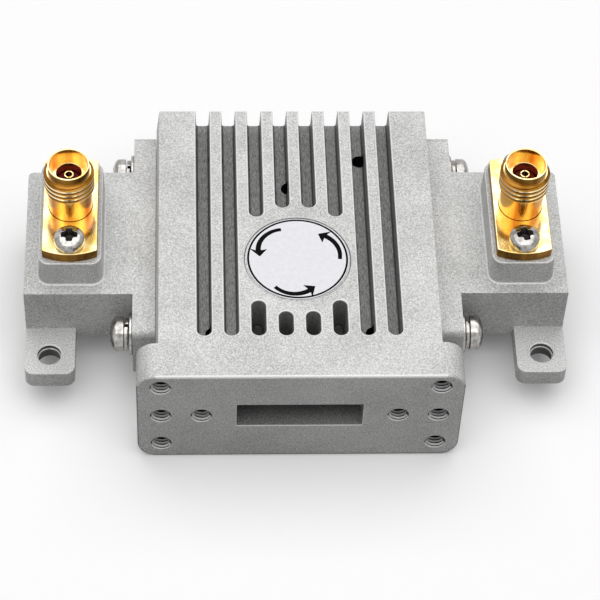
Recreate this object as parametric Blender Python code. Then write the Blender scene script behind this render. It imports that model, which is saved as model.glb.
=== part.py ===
# RF junction circulator: finned housing with a waveguide port at the front and, on each side,
# an arm that turns the waveguide into a threaded coaxial socket.
#
# Frame: X to the right, Y from the front flange to the back, Z up. The origin is the middle of
# the footprint, on the surface that the housing stands on.

from math import cos, pi, radians, sin, sqrt, tan

import bmesh
import bpy
from mathutils import Matrix

MM = 0.001

# Clearances
SEAT_GAP = 0.05 * MM  # between two faces that bear on each other
FIT_GAP = 0.08 * MM  # round a piece that sits in a pocket or a bore
MERGE = 0.0001 * MM  # vertices closer than this are one
OVERSHOOT = 1.0 * MM  # how far a cutter stands past the face it opens

# Housing
HOUSING_REAR_MARGIN = 1.2 * MM  # it stands this far behind the arms' plates
SIDE_LEAN = 0.38 * MM  # how far each side leans in above the arms
BACK_CORNER = 0.4 * MM
FLANGE_OVERHANG = 2.35 * MM  # it stands out this far past each side
FLANGE_DEPTH = 5.3 * MM
FLANGE_CORNER = 2.5 * MM
FLANGE_EDGE = 0.32 * MM  # rounding round its face
FLANGE_FILLET = 0.8 * MM  # in the corner between flange and housing side
FLANGE_EAR_FLAT = 0.35 * MM  # from that fillet to the rounding of its rear corners
FIN_CORNER = 0.3 * MM  # rounding of the fins' upper rear corners

# Waveguide and junction
GUIDE_WIDTH = 15.8 * MM
GUIDE_HEIGHT = 4.4 * MM
SIDE_PORT_SHIFT = 7.5 * MM  # the side ports lie this far behind the middle of the junction
GUIDE_BEND = 10.9 * MM  # from the middle to where the rear guides turn square to the side ports
GUIDE_SIDE_WALL = 3.0 * MM  # metal left under each side port
GUIDE_FRONT_WALL = 8.2 * MM  # metal left under the front port
STEP_RADIUS = 5.2 * MM  # raised round step that matches the ferrite
STEP_HEIGHT = 0.5 * MM

# Grooves
GROOVE_COUNT = 8
GROOVE_PITCH = 3.41 * MM
GROOVE_WIDTH = 1.87 * MM
GROOVE_DEPTH = 3.1 * MM
GROOVE_DRAFT = radians(2.5)
GROOVE_FILLET = 0.2 * MM  # a flat one at 45 degrees, along the floor
GROOVE_SETBACK = 6.5 * MM  # flange face to the front ends
SLOT_LENGTH = 3.8 * MM  # of the two middle ones of the short closed slots in front of the label
SLOT_WEB = 0.9 * MM  # metal between their floors and the waveguide
INNER_GAPS = (8.4 * MM, 8.5 * MM)  # from the label's middle to where the two middle grooves stop and start
OUTER_GAPS = (6.7 * MM, 7.0 * MM)  # and those beside them

# Tapped holes in the flange
FLANGE_HOLE_RADIUS = 1.0 * MM
FLANGE_HOLE_WEB = 0.9 * MM  # of the flange's depth that the holes leave
FLANGE_HOLE_CHAMFER = 0.32 * MM
OUTER_COLUMN_INSET = 3.0 * MM  # from the flange's sides
INNER_COLUMN_SHIFT = 4.45 * MM  # from the waveguide's sides
HOLE_ROW = 5.9 * MM  # above and below the guide level

# Magnets, pole pieces, ferrites
MAGNET_RADIUS = 5.9 * MM
MAGNET_HEIGHT = 2.4 * MM
POLE_HEIGHT = 0.8 * MM
MAGNET_WEB = 0.9 * MM  # metal between pocket and waveguide
CAP_LEDGE = 0.85 * MM  # the caps' rims stand out this far past the magnets
CAP_THICKNESS = 1.1 * MM
UPPER_PILOT = 0.38 * MM  # from the upper cap's rim down to the magnet
LOWER_PILOT = 1.05 * MM
LABEL_MARGIN = 0.2 * MM  # rim of the cap that shows round the label
LABEL_THICKNESS = 0.12 * MM
FERRITE_RADIUS = 3.6 * MM
FERRITE_HEIGHT = 0.7 * MM

# Bottom cover
COVER_SETBACK = 6.2 * MM  # flange face to its front edge
COVER_REAR_MARGIN = 2.4 * MM  # metal behind it
COVER_SIDE_MARGIN = 2.55 * MM  # and beside it
COVER_LEDGE = 7.6 * MM  # it reaches this far past the front waveguide's sides
COVER_THICKNESS = 2.5 * MM
COVER_CORNER = 2.0 * MM
COVER_INSET = 0.1 * MM  # its underside lies this far above the housing's
COVER_SCREW_RADIUS = 0.95 * MM
COVER_SCREW_SHANK = 9.5 * MM  # below the head
COVER_HEAD_RADIUS = 1.85 * MM
COVER_HEAD_HEIGHT = 1.2 * MM
COVER_KEY = 1.5 * MM  # across the flats of the hexagon socket
COVER_KEY_DEPTH = 0.7 * MM
COVER_HOLE_BREAK = 0.8 * MM  # the tapped holes run on this far above the groove floors
COVER_SCREW_SHIFT = -0.7 * MM  # the screw pattern lies this far off the middle
COVER_SCREW_FRONT = (2.2 * MM, 2.8 * MM)  # out from the waveguide's sides, in from the cover's front edge
COVER_SCREW_REAR = (1.6 * MM, 4.0 * MM)  # likewise, in from its rear edge
COVER_SCREW_MIDDLE = 8.7 * MM  # in from its rear edge

# Arms
ARM_HEIGHT = 8.6 * MM
ARM_DEPTH = 16.8 * MM  # from the housing's side to the outer face
ARM_GUIDE_WALL = 2.3 * MM  # in front of the waveguide and behind it
ARM_BOX_CORNER = 0.7 * MM  # the outer rear one; the front one is square
PLATE_THICKNESS = 2.9 * MM
PLATE_CORNER = 1.0 * MM
BACKSHORT_WALL = 2.3 * MM  # outer end of the waveguide in the arm
BOSS_SIDE_MARGIN = 0.5 * MM  # its top stands out this far past the socket's flange
BOSS_END_MARGIN = 0.3 * MM
BOSS_HEIGHT = 4.0 * MM
BOSS_CORNER = 1.4 * MM
BOSS_DRAFT = radians(2.0)
TAB_WIDTH = 6.4 * MM
TAB_REACH = 7.4 * MM  # in front of the box
TAB_UNDERLAP = 4.0 * MM  # the tab goes on this far under the box
TAB_THICKNESS = 2.5 * MM
TAB_DROP = 1.0 * MM  # its underside lies this far below the box
TAB_CORNER = 1.25 * MM
TAB_HOLE_RADIUS = 1.52 * MM
TAB_HOLE_INSET = 3.1 * MM  # from the arm's outer face
TAB_HOLE_SETBACK = 3.2 * MM  # from the tab's front edge
TAB_HOLE_CHAMFER = 0.12 * MM

# Arm screws with their washers
ARM_SCREW_EDGE = 3.3 * MM  # from their axes to the plate's ends
ARM_SCREW_RADIUS = 1.2 * MM
ARM_SCREW_DEPTH = 4.6 * MM  # into the housing
ARM_HEAD_RADIUS = 2.25 * MM
ARM_HEAD_HEIGHT = 1.85 * MM
FLAT_WASHER_RADIUS = 2.75 * MM
FLAT_WASHER_THICKNESS = 0.4 * MM
FLAT_WASHER_ROOM = 0.35 * MM  # between its edge and the box
SPRING_WASHER_RADIUS = 2.1 * MM
SPRING_WASHER_THICKNESS = 0.6 * MM
SPRING_WASHER_SPLIT = radians(12)

# Coaxial sockets
SOCKET_INSET = 5.95 * MM  # from the arm's outer face to the socket's axis
SOCKET_FLANGE_EDGE = 2.1 * MM  # from the screws' axes to the flange's ends
SOCKET_FLANGE_WIDTH = 7.0 * MM  # across the two flats
SOCKET_FLANGE_THICKNESS = 1.45 * MM
NECK_WALL = 1.22 * MM
NECK_HEIGHT = 3.65 * MM
THREAD_WALL = 0.105 * MM  # from the lip's side out to the thread's root
THREAD_DEPTH = 0.42 * MM
THREAD_PITCH = 0.75 * MM
THREAD_TURNS = 4
THREAD_CREST = 0.16  # width of a crest, in pitches
LIP_WALL = 0.22 * MM
LIP_HEIGHT = 1.2 * MM
LIP_CHAMFER = 0.12 * MM
MOUTH_LEDGE = 0.85 * MM  # the mouth is this much wider than the bore, all round
MOUTH_DEPTH = 1.6 * MM
BORE_RADIUS = 1.58 * MM
INSULATOR_DEPTH = 3.0 * MM  # its top lies this far below the lip
CONTACT_DEPTH = 1.9 * MM  # its end lies this far below the lip
CONTACT_RADIUS = 0.62 * MM
CONTACT_BORE_RADIUS = 0.42 * MM
CONTACT_BORE_DEPTH = 2.2 * MM
PROBE_RADIUS = 1.1 * MM  # bead at the lower end of the contact
PROBE_HEIGHT = 0.8 * MM
PROBE_REACH = 2.4 * MM  # into the waveguide
SOCKET_HEAD_ROOM = 0.995 * MM  # between thread and screw heads, for a nut
SOCKET_SCREW_RADIUS = 0.9 * MM
SOCKET_SCREW_SHANK = 5.2 * MM
SOCKET_HEAD_RADIUS = 1.93 * MM
SOCKET_HEAD_HEIGHT = 1.6 * MM

# Sizes, levels and places that follow from the sizes above
CAP_RADIUS = MAGNET_RADIUS + CAP_LEDGE
LABEL_RADIUS = CAP_RADIUS - LABEL_MARGIN
MAGNET_STACK = MAGNET_WEB + POLE_HEIGHT + MAGNET_HEIGHT + 3 * SEAT_GAP  # waveguide to cap
GUIDE_FLOOR = COVER_INSET + CAP_THICKNESS + LOWER_PILOT + MAGNET_STACK
GUIDE_LEVEL = GUIDE_FLOOR + GUIDE_HEIGHT / 2  # height of its middle
GUIDE_TOP = GUIDE_FLOOR + GUIDE_HEIGHT
HOUSING_HEIGHT = GUIDE_TOP + MAGNET_STACK + UPPER_PILOT + CAP_THICKNESS + SEAT_GAP + LABEL_THICKNESS
SLOT_DEPTH = HOUSING_HEIGHT - GUIDE_TOP - SLOT_WEB
COVER_HOLE_TOP = HOUSING_HEIGHT - GROOVE_DEPTH + COVER_HOLE_BREAK
JUNCTION_SETBACK = GROOVE_SETBACK + SLOT_LENGTH + INNER_GAPS[0]  # flange face to the middle of the junction
SIDE_PORT_SETBACK = JUNCTION_SETBACK + SIDE_PORT_SHIFT
ARM_BOX_LENGTH = GUIDE_WIDTH + 2 * ARM_GUIDE_WALL
ARM_SCREW_SPACING = ARM_BOX_LENGTH + 2 * (FLAT_WASHER_RADIUS + FLAT_WASHER_ROOM)
PLATE_LENGTH = ARM_SCREW_SPACING + 2 * ARM_SCREW_EDGE
HOUSING_LENGTH = SIDE_PORT_SETBACK + PLATE_LENGTH / 2 + HOUSING_REAR_MARGIN  # flange face to back
COVER_LENGTH = HOUSING_LENGTH - COVER_SETBACK - COVER_REAR_MARGIN
COVER_WIDTH = GUIDE_WIDTH + 2 * COVER_LEDGE
HOUSING_WIDTH = COVER_WIDTH + 2 * COVER_SIDE_MARGIN  # where the arms bolt on
FLANGE_WIDTH = HOUSING_WIDTH + 2 * FLANGE_OVERHANG
FLANGE_HOLE_DEPTH = FLANGE_DEPTH - FLANGE_HOLE_WEB
OUTER_COLUMN = FLANGE_WIDTH / 2 - OUTER_COLUMN_INSET
INNER_COLUMN = GUIDE_WIDTH / 2 + INNER_COLUMN_SHIFT
ARM_REACH = HOUSING_WIDTH / 2 + ARM_DEPTH
SOCKET_OFFSET = ARM_REACH - SOCKET_INSET  # from the middle to the socket's axis
FRONT = -HOUSING_LENGTH / 2
BACK = HOUSING_LENGTH / 2
ARM_TOP = GUIDE_LEVEL + ARM_HEIGHT / 2
ARM_BOTTOM = GUIDE_LEVEL - ARM_HEIGHT / 2
PLATE_INNER = HOUSING_WIDTH / 2 + SEAT_GAP
PLATE_OUTER = PLATE_INNER + PLATE_THICKNESS
MOUTH_RADIUS = BORE_RADIUS + MOUTH_LEDGE
LIP_RADIUS = MOUTH_RADIUS + LIP_WALL
THREAD_RADIUS = LIP_RADIUS + THREAD_WALL + THREAD_DEPTH
NECK_RADIUS = BORE_RADIUS + NECK_WALL
SOCKET_SCREW_SPACING = 2 * (THREAD_RADIUS + SOCKET_HEAD_ROOM + SOCKET_HEAD_RADIUS)
SOCKET_FLANGE_RADIUS = SOCKET_SCREW_SPACING / 2 + SOCKET_FLANGE_EDGE
BOSS_WIDTH = SOCKET_FLANGE_WIDTH + 2 * BOSS_SIDE_MARGIN
BOSS_LENGTH = 2 * (SOCKET_FLANGE_RADIUS + BOSS_END_MARGIN)
BOSS_TOP = ARM_TOP + BOSS_HEIGHT
SOCKET_BASE = BOSS_TOP + SEAT_GAP
SOCKET_FLANGE_TOP = SOCKET_BASE + SOCKET_FLANGE_THICKNESS
THREAD_LENGTH = THREAD_PITCH * (THREAD_TURNS + THREAD_CREST)
SOCKET_TOP = SOCKET_FLANGE_TOP + NECK_HEIGHT + THREAD_LENGTH + LIP_HEIGHT
PORT_Y = FRONT + SIDE_PORT_SETBACK
JUNCTION_Y = FRONT + JUNCTION_SETBACK

SIDES = {"left": -1, "right": 1}

DRILL_POINT = radians(59)  # half the angle of a drill's point
TIP_CHAMFER = 0.3  # of the shank radius, at a screw's end
HEAD_SIDE = 0.55  # of a pan head's height is upright, and the rest is its dome
RECESS_LEVELS = ((0.4, 0.16, 0.08), (1.2, 0.62, 0.14))  # level in head heights, reach and half width in radii

# Fineness of round shapes
COARSE = 14
MEDIUM = 18
FINE = 32
SOCKET_STEPS = 24
CORNER_STEPS = 4
FIN_CORNER_STEPS = 3


def material(name, colour, roughness, metallic):
    made = bpy.data.materials.new(name)
    made.use_nodes = True
    shader = made.node_tree.nodes["Principled BSDF"]
    shader.inputs["Base Color"].default_value = (*colour, 1)
    shader.inputs["Roughness"].default_value = roughness
    shader.inputs["Metallic"].default_value = metallic
    return made


def arc(centre, radius, start, end, steps):
    # Points on an arc, both ends included.
    turn = [start + (end - start) * i / steps for i in range(steps + 1)]
    return [(centre[0] + radius * cos(a), centre[1] + radius * sin(a)) for a in turn]


def rounded_rectangle(low, high, radius, steps=CORNER_STEPS):
    # Counter-clockwise outline from the lower right corner on.
    right, left = high[0] - radius, low[0] + radius
    upper, lower = high[1] - radius, low[1] + radius
    return (
        arc((right, lower), radius, -pi / 2, 0, steps)
        + arc((right, upper), radius, 0, pi / 2, steps)
        + arc((left, upper), radius, pi / 2, pi, steps)
        + arc((left, lower), radius, pi, 3 * pi / 2, steps)
    )


def stadium(x, front, back, radius, steps=2 * CORNER_STEPS):
    # A slot with full-radius ends, seen from above.
    return arc((x, front + radius), radius, pi, 2 * pi, steps) + arc(
        (x, back - radius), radius, 0, pi, steps
    )


def loft(rings):
    # A closed solid through rings of points that have the same count.
    bm = bmesh.new()
    loops = [[bm.verts.new(point) for point in ring] for ring in rings]
    bm.faces.new(loops[0])
    bm.faces.new(loops[-1])
    for lower, upper in zip(loops, loops[1:]):
        for i in range(len(lower)):
            bm.faces.new((lower[i - 1], lower[i], upper[i], upper[i - 1]))
    bmesh.ops.recalc_face_normals(bm, faces=bm.faces)
    return bm


def prism(outline, low, high):
    # An outline in plan, from one height to another.
    return loft([[(x, y, z) for x, y in outline] for z in (low, high)])


def rectangle(low, high):
    return [(low[0], low[1]), (high[0], low[1]), (high[0], high[1]), (low[0], high[1])]


def box(low, high):
    return prism(rectangle(low, high), low[2], high[2])


def turned(profile, steps, sweep=2 * pi):
    # Spins (radius, height) points about Z. A profile whose ends aren't both on the axis is closed.
    bm = bmesh.new()
    verts = [bm.verts.new((radius, 0, height)) for radius, height in profile]
    edges = [bm.edges.new(pair) for pair in zip(verts, verts[1:])]
    if profile[0][0] > 0 or profile[-1][0] > 0:
        edges.append(bm.edges.new((verts[-1], verts[0])))
    full = sweep > 2 * pi - 0.001
    if not full:
        edges += bm.faces.new(verts).edges
    geometry = list(set(verts + edges + bm.faces[:]))
    turn = {"cent": (0, 0, 0), "axis": (0, 0, 1), "angle": sweep, "steps": steps}
    bmesh.ops.spin(bm, geom=geometry, use_merge=full, **turn)
    bmesh.ops.remove_doubles(bm, verts=bm.verts, dist=MERGE)
    bmesh.ops.recalc_face_normals(bm, faces=bm.faces)
    return bm


def inset_prism(outline, inset, low, high):
    # A prism whose sides stand in from the outline.
    bm = bmesh.new()
    face = bm.faces.new([bm.verts.new((x, y, low)) for x, y in outline])
    rim = bmesh.ops.inset_individual(bm, faces=[face], thickness=inset, use_even_offset=True)["faces"]
    bmesh.ops.delete(bm, geom=rim, context="FACES")
    grown = bmesh.ops.extrude_face_region(bm, geom=bm.faces[:], use_keep_orig=True)["geom"]
    raised = [element for element in grown if isinstance(element, bmesh.types.BMVert)]
    bmesh.ops.translate(bm, vec=(0, 0, high - low), verts=raised)
    bmesh.ops.recalc_face_normals(bm, faces=bm.faces)
    return bm


def moved(bm, location=(0, 0, 0), rotation=None):
    if rotation is not None:
        bm.transform(rotation)
    bm.transform(Matrix.Translation(location))
    return bm


def joined(pieces):
    # Several separate shells in one mesh, for a cutter.
    whole = bmesh.new()
    for piece in pieces:
        mesh = bpy.data.meshes.new("shell")
        piece.to_mesh(mesh)
        piece.free()
        whole.from_mesh(mesh)
        bpy.data.meshes.remove(mesh)
    return whole


def add_object(name, bm):
    mesh = bpy.data.meshes.new(name)
    bm.to_mesh(mesh)
    bm.free()
    made = bpy.data.objects.new(name, mesh)
    bpy.context.scene.collection.objects.link(made)
    return made


def add_part(name, bm, finish, location=(0, 0, 0), rotation=(0, 0, 0)):
    part = add_object(name, bm)
    part.data.materials.append(finish)
    part.data.shade_smooth()
    part.data.set_sharp_from_angle(angle=radians(35))
    part.location = location
    part.rotation_euler = rotation
    part.parent = assembly
    return part


def combine(part, operation, name, bm):
    # Cuts a shape from the part, or adds one to it, with a Boolean.
    tool = add_object(f"{part.name}_{name}", bm)
    tool.hide_render = True
    tool.display_type = "WIRE"
    tool.parent = assembly
    modifier = part.modifiers.new(name, "BOOLEAN")
    modifier.operation = operation
    modifier.object = tool
    modifier.solver = "EXACT"


def cut(part, name, bm):
    combine(part, "DIFFERENCE", name, bm)


def add(part, name, bm):
    combine(part, "UNION", name, bm)


def disc(radius, low, high, steps=FINE):
    return turned([(0, low), (radius, low), (radius, high), (0, high)], steps)


def stepped_disc(low, lower_radius, step, upper_radius, high, steps=FINE):
    # A disc whose radius changes at the step.
    lower = [(0, low), (lower_radius, low), (lower_radius, step)]
    return turned(lower + [(upper_radius, step), (upper_radius, high), (0, high)], steps)


def ring(inner, outer, low, high, steps=COARSE):
    return turned([(outer, low), (outer, high), (inner, high), (inner, low)], steps)


def drilling(radius, low, high, steps=COARSE):
    # A blind hole's cutter that opens at the low end and has a drill point at the top.
    point = radius / tan(DRILL_POINT)
    return turned([(0, low), (radius, low), (radius, high), (0, high + point)], steps)


# Housing


def housing_plan(half_width):
    # Right side from the flange to the back corner, mirrored to the left.
    flange_back = FRONT + FLANGE_DEPTH
    fillet = arc(
        (half_width + FLANGE_FILLET, flange_back + FLANGE_FILLET), FLANGE_FILLET, 3 * pi / 2, pi, CORNER_STEPS
    )
    corner = arc((half_width - BACK_CORNER, BACK - BACK_CORNER), BACK_CORNER, 0, pi / 2, 2)
    right = [(half_width + FLANGE_FILLET, flange_back - FLANGE_FILLET), *fillet, *corner]
    return right + [(-x, y) for x, y in reversed(right)]


def flange_blank():
    # A rounded rectangle seen from the front, with a rounded edge round its face.
    rings = []
    turns = (pi / 2, pi / 4, 0)
    levels = [(FLANGE_EDGE * (1 - sin(a)), FLANGE_EDGE * (1 - cos(a))) for a in turns]
    for depth, inset in [*levels, (FLANGE_DEPTH, 0)]:
        half = FLANGE_WIDTH / 2 - inset
        outline = rounded_rectangle((-half, inset), (half, HOUSING_HEIGHT - inset), FLANGE_CORNER - inset)
        rings.append([(x, FRONT + depth, z) for x, z in outline])
    return loft(rings)


def ear_corners():
    # What the rounding of the flange's rear corners takes away.
    radius = FLANGE_OVERHANG - FLANGE_FILLET - FLANGE_EAR_FLAT
    half, rear = FLANGE_WIDTH / 2, FRONT + FLANGE_DEPTH
    outline = arc((half - radius, rear - radius), radius, 0, pi / 2, CORNER_STEPS)
    outline += [(half - radius, rear + OVERSHOOT), (half + OVERSHOOT, rear + OVERSHOOT)]
    outline.append((half + OVERSHOOT, rear - radius))
    low, high = -OVERSHOOT, HOUSING_HEIGHT + OVERSHOOT
    return joined([prism([(sign * x, y) for x, y in outline], low, high) for sign in SIDES.values()])


def fin_corners():
    # A bar behind the fins, hollow where it rounds their upper corners.
    low, high = HOUSING_HEIGHT - FIN_CORNER, HOUSING_HEIGHT + OVERSHOOT
    outline = arc((BACK - FIN_CORNER, low), FIN_CORNER, 0, pi / 2, FIN_CORNER_STEPS)
    outline += [(BACK - FIN_CORNER, high), (BACK + OVERSHOOT, high), (BACK + OVERSHOOT, low)]
    reach = HOUSING_WIDTH / 2 + OVERSHOOT
    return loft([[(x, y, z) for y, z in outline] for x in (-reach, reach)])


def groove(x, front, back, depth):
    # The walls lean out by the draft, and a small slope joins them to the floor.
    levels = [(-depth, GROOVE_FILLET), (-depth + GROOVE_FILLET, 0), (OVERSHOOT, 0)]
    rings = []
    for level, narrowed in levels:
        inset = narrowed - level * tan(GROOVE_DRAFT)
        outline = stadium(x, front + inset, back - inset, GROOVE_WIDTH / 2 - inset)
        rings.append([(px, py, HOUSING_HEIGHT + level) for px, py in outline])
    return loft(rings)


def grooves():
    cutters = []
    past_back = BACK + GROOVE_WIDTH + OVERSHOOT
    for i in range(GROOVE_COUNT):
        place = i - (GROOVE_COUNT - 1) / 2
        x = place * GROOVE_PITCH
        front = FRONT + GROOVE_SETBACK
        gaps = {0.5: INNER_GAPS, 1.5: OUTER_GAPS}.get(abs(place))
        if gaps:
            cutters.append(groove(x, front, JUNCTION_Y - gaps[0], SLOT_DEPTH))
            front = JUNCTION_Y + gaps[1]
        cutters.append(groove(x, front, past_back, GROOVE_DEPTH))
    return joined(cutters)


def junction_plan():
    # Three waveguides meet at 120 degrees. The two rear ones bend square to the side ports.
    half = GUIDE_WIDTH / 2
    reach = HOUSING_WIDTH / 2 - GUIDE_SIDE_WALL
    right = [
        (half, FRONT + GUIDE_FRONT_WALL),
        (half, JUNCTION_Y - half / sqrt(3)),
        (reach, PORT_Y - half),
        (reach, PORT_Y + half),
        (GUIDE_BEND, PORT_Y + half),
    ]
    apex = (0, JUNCTION_Y + 2 * half / sqrt(3))
    return right + [apex] + [(-x, y) for x, y in reversed(right)]


def cover_plan(clearance):
    half = COVER_WIDTH / 2 - clearance
    front = FRONT + COVER_SETBACK
    low, high = (-half, front + clearance), (half, front + COVER_LENGTH - clearance)
    return rounded_rectangle(low, high, COVER_CORNER)


def cover_screw_places():
    front = FRONT + COVER_SETBACK
    rear = front + COVER_LENGTH
    places = {"middle": (COVER_SCREW_SHIFT, rear - COVER_SCREW_MIDDLE)}
    rows = {
        "front": (COVER_SCREW_FRONT[0], front + COVER_SCREW_FRONT[1]),
        "rear": (COVER_SCREW_REAR[0], rear - COVER_SCREW_REAR[1]),
    }
    for side, sign in SIDES.items():
        for row, (shift, y) in rows.items():
            places[f"{row}_{side}"] = (COVER_SCREW_SHIFT + sign * (GUIDE_WIDTH / 2 + shift), y)
    return places


def flange_holes():
    point = FLANGE_HOLE_RADIUS / tan(DRILL_POINT)
    profile = [
        (0, -OVERSHOOT),
        (FLANGE_HOLE_RADIUS + FLANGE_HOLE_CHAMFER + OVERSHOOT, -OVERSHOOT),
        (FLANGE_HOLE_RADIUS, FLANGE_HOLE_CHAMFER),
        (FLANGE_HOLE_RADIUS, FLANGE_HOLE_DEPTH),
        (0, FLANGE_HOLE_DEPTH + point),
    ]
    places = [(x, row) for x in (-OUTER_COLUMN, OUTER_COLUMN) for row in (-HOLE_ROW, 0, HOLE_ROW)]
    places += [(-INNER_COLUMN, 0), (INNER_COLUMN, 0)]
    into_flange = Matrix.Rotation(-pi / 2, 4, "X")
    return joined([
        moved(turned(profile, COARSE), (x, FRONT, GUIDE_LEVEL + row), into_flange) for x, row in places
    ])


def arm_screw_places():
    return {"front": PORT_Y - ARM_SCREW_SPACING / 2, "back": PORT_Y + ARM_SCREW_SPACING / 2}


def outward(side):
    # Turns +Z to point away from the housing on that side.
    return Matrix.Rotation(side * pi / 2, 4, "Y")


def housing():
    shoulder = ARM_TOP + SEAT_GAP
    half = HOUSING_WIDTH / 2
    levels = [(0, half), (shoulder, half), (HOUSING_HEIGHT, half - SIDE_LEAN)]
    body = loft([[(x, y, z) for x, y in housing_plan(width)] for z, width in levels])
    part = add_part("housing", body, aluminium)

    add(part, "flange", flange_blank())
    cut(part, "ear_corners", ear_corners())
    cut(part, "fin_corners", fin_corners())
    cut(part, "grooves", grooves())

    guide = GUIDE_WIDTH / 2
    reach = half - GUIDE_SIDE_WALL
    cut(part, "junction", prism(junction_plan(), -OVERSHOOT, GUIDE_TOP))
    front_end = FRONT + GUIDE_FRONT_WALL + OVERSHOOT
    cut(part, "front_port", box((-guide, FRONT - OVERSHOOT, GUIDE_FLOOR), (guide, front_end, GUIDE_TOP)))
    for side, sign in SIDES.items():
        ends = sorted((sign * (reach - OVERSHOOT), sign * (half + OVERSHOOT)))
        port = box((ends[0], PORT_Y - guide, GUIDE_FLOOR), (ends[1], PORT_Y + guide, GUIDE_TOP))
        cut(part, f"{side}_port", port)
    sunk_into_wall = MAGNET_WEB / 2
    step = disc(STEP_RADIUS, GUIDE_TOP - STEP_HEIGHT, GUIDE_TOP + sunk_into_wall)
    add(part, "step", moved(step, (0, JUNCTION_Y, 0)))

    pocket = MAGNET_RADIUS + FIT_GAP
    cap = CAP_RADIUS + FIT_GAP
    cap_seat = HOUSING_HEIGHT - LABEL_THICKNESS - CAP_THICKNESS - 2 * SEAT_GAP
    hollow = stepped_disc(GUIDE_TOP + MAGNET_WEB, pocket, cap_seat, cap, HOUSING_HEIGHT + OVERSHOOT)
    cut(part, "magnet_pocket", moved(hollow, (0, JUNCTION_Y, 0)))

    cut(part, "cover_pocket", prism(cover_plan(0), -OVERSHOOT, COVER_INSET + COVER_THICKNESS + SEAT_GAP))
    tapping = COVER_SCREW_RADIUS + SEAT_GAP
    places = cover_screw_places().values()
    cut(part, "cover_tappings", joined([
        moved(drilling(tapping, 0, COVER_HOLE_TOP), (x, y, 0)) for x, y in places
    ]))
    cut(part, "flange_holes", flange_holes())
    tapping = ARM_SCREW_RADIUS + SEAT_GAP
    depth = ARM_SCREW_DEPTH + 2 * SEAT_GAP
    cut(part, "arm_tappings", joined([
        moved(drilling(tapping, -OVERSHOOT, depth), (sign * half, y, GUIDE_LEVEL), outward(-sign))
        for sign in SIDES.values() for y in arm_screw_places().values()
    ]))


def bottom_cover():
    # A plate let into the underside, with a raised land that is the waveguide's lower wall.
    plate_top = COVER_INSET + COVER_THICKNESS
    part = add_part("bottom_cover", prism(cover_plan(FIT_GAP), COVER_INSET, plate_top), aluminium)
    add(part, "land", inset_prism(junction_plan(), FIT_GAP, COVER_INSET + COVER_THICKNESS / 2, GUIDE_FLOOR))
    step = disc(STEP_RADIUS, GUIDE_FLOOR - STEP_HEIGHT, GUIDE_FLOOR + STEP_HEIGHT)
    add(part, "step", moved(step, (0, JUNCTION_Y, 0)))

    pocket = MAGNET_RADIUS + FIT_GAP
    cap = CAP_RADIUS + FIT_GAP
    cap_seat = COVER_INSET + CAP_THICKNESS + SEAT_GAP
    hollow = stepped_disc(-OVERSHOOT, cap, cap_seat, pocket, GUIDE_FLOOR - MAGNET_WEB)
    cut(part, "magnet_pocket", moved(hollow, (0, JUNCTION_Y, 0)))

    head = COVER_HEAD_RADIUS + FIT_GAP
    head_seat = COVER_INSET + COVER_HEAD_HEIGHT + 2 * SEAT_GAP
    shank = COVER_SCREW_RADIUS + FIT_GAP
    cut(part, "screw_holes", joined([
        moved(stepped_disc(-OVERSHOOT, head, head_seat, shank, plate_top + OVERSHOOT, COARSE), (x, y, 0))
        for x, y in cover_screw_places().values()
    ]))


def hexagon(across_flats):
    return arc((0, 0), across_flats / sqrt(3), 0, 5 * pi / 3, 5)


def cover_screws():
    # Low heads with a hexagon socket, put in from below.
    for place, (x, y) in cover_screw_places().items():
        low = COVER_INSET + SEAT_GAP
        seat = low + COVER_HEAD_HEIGHT
        end = seat + COVER_SCREW_SHANK
        tip = TIP_CHAMFER * COVER_SCREW_RADIUS
        profile = [
            (0, low),
            (COVER_HEAD_RADIUS, low),
            (COVER_HEAD_RADIUS, seat),
            (COVER_SCREW_RADIUS, seat),
            (COVER_SCREW_RADIUS, end - tip),
            (COVER_SCREW_RADIUS - tip, end),
            (0, end),
        ]
        part = add_part(f"cover_screw_{place}", turned(profile, COARSE), steel, (x, y, 0))
        recess = prism(hexagon(COVER_KEY), low - OVERSHOOT, low + COVER_KEY_DEPTH)
        cut(part, "recess", moved(recess, (x, y, 0)))


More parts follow.
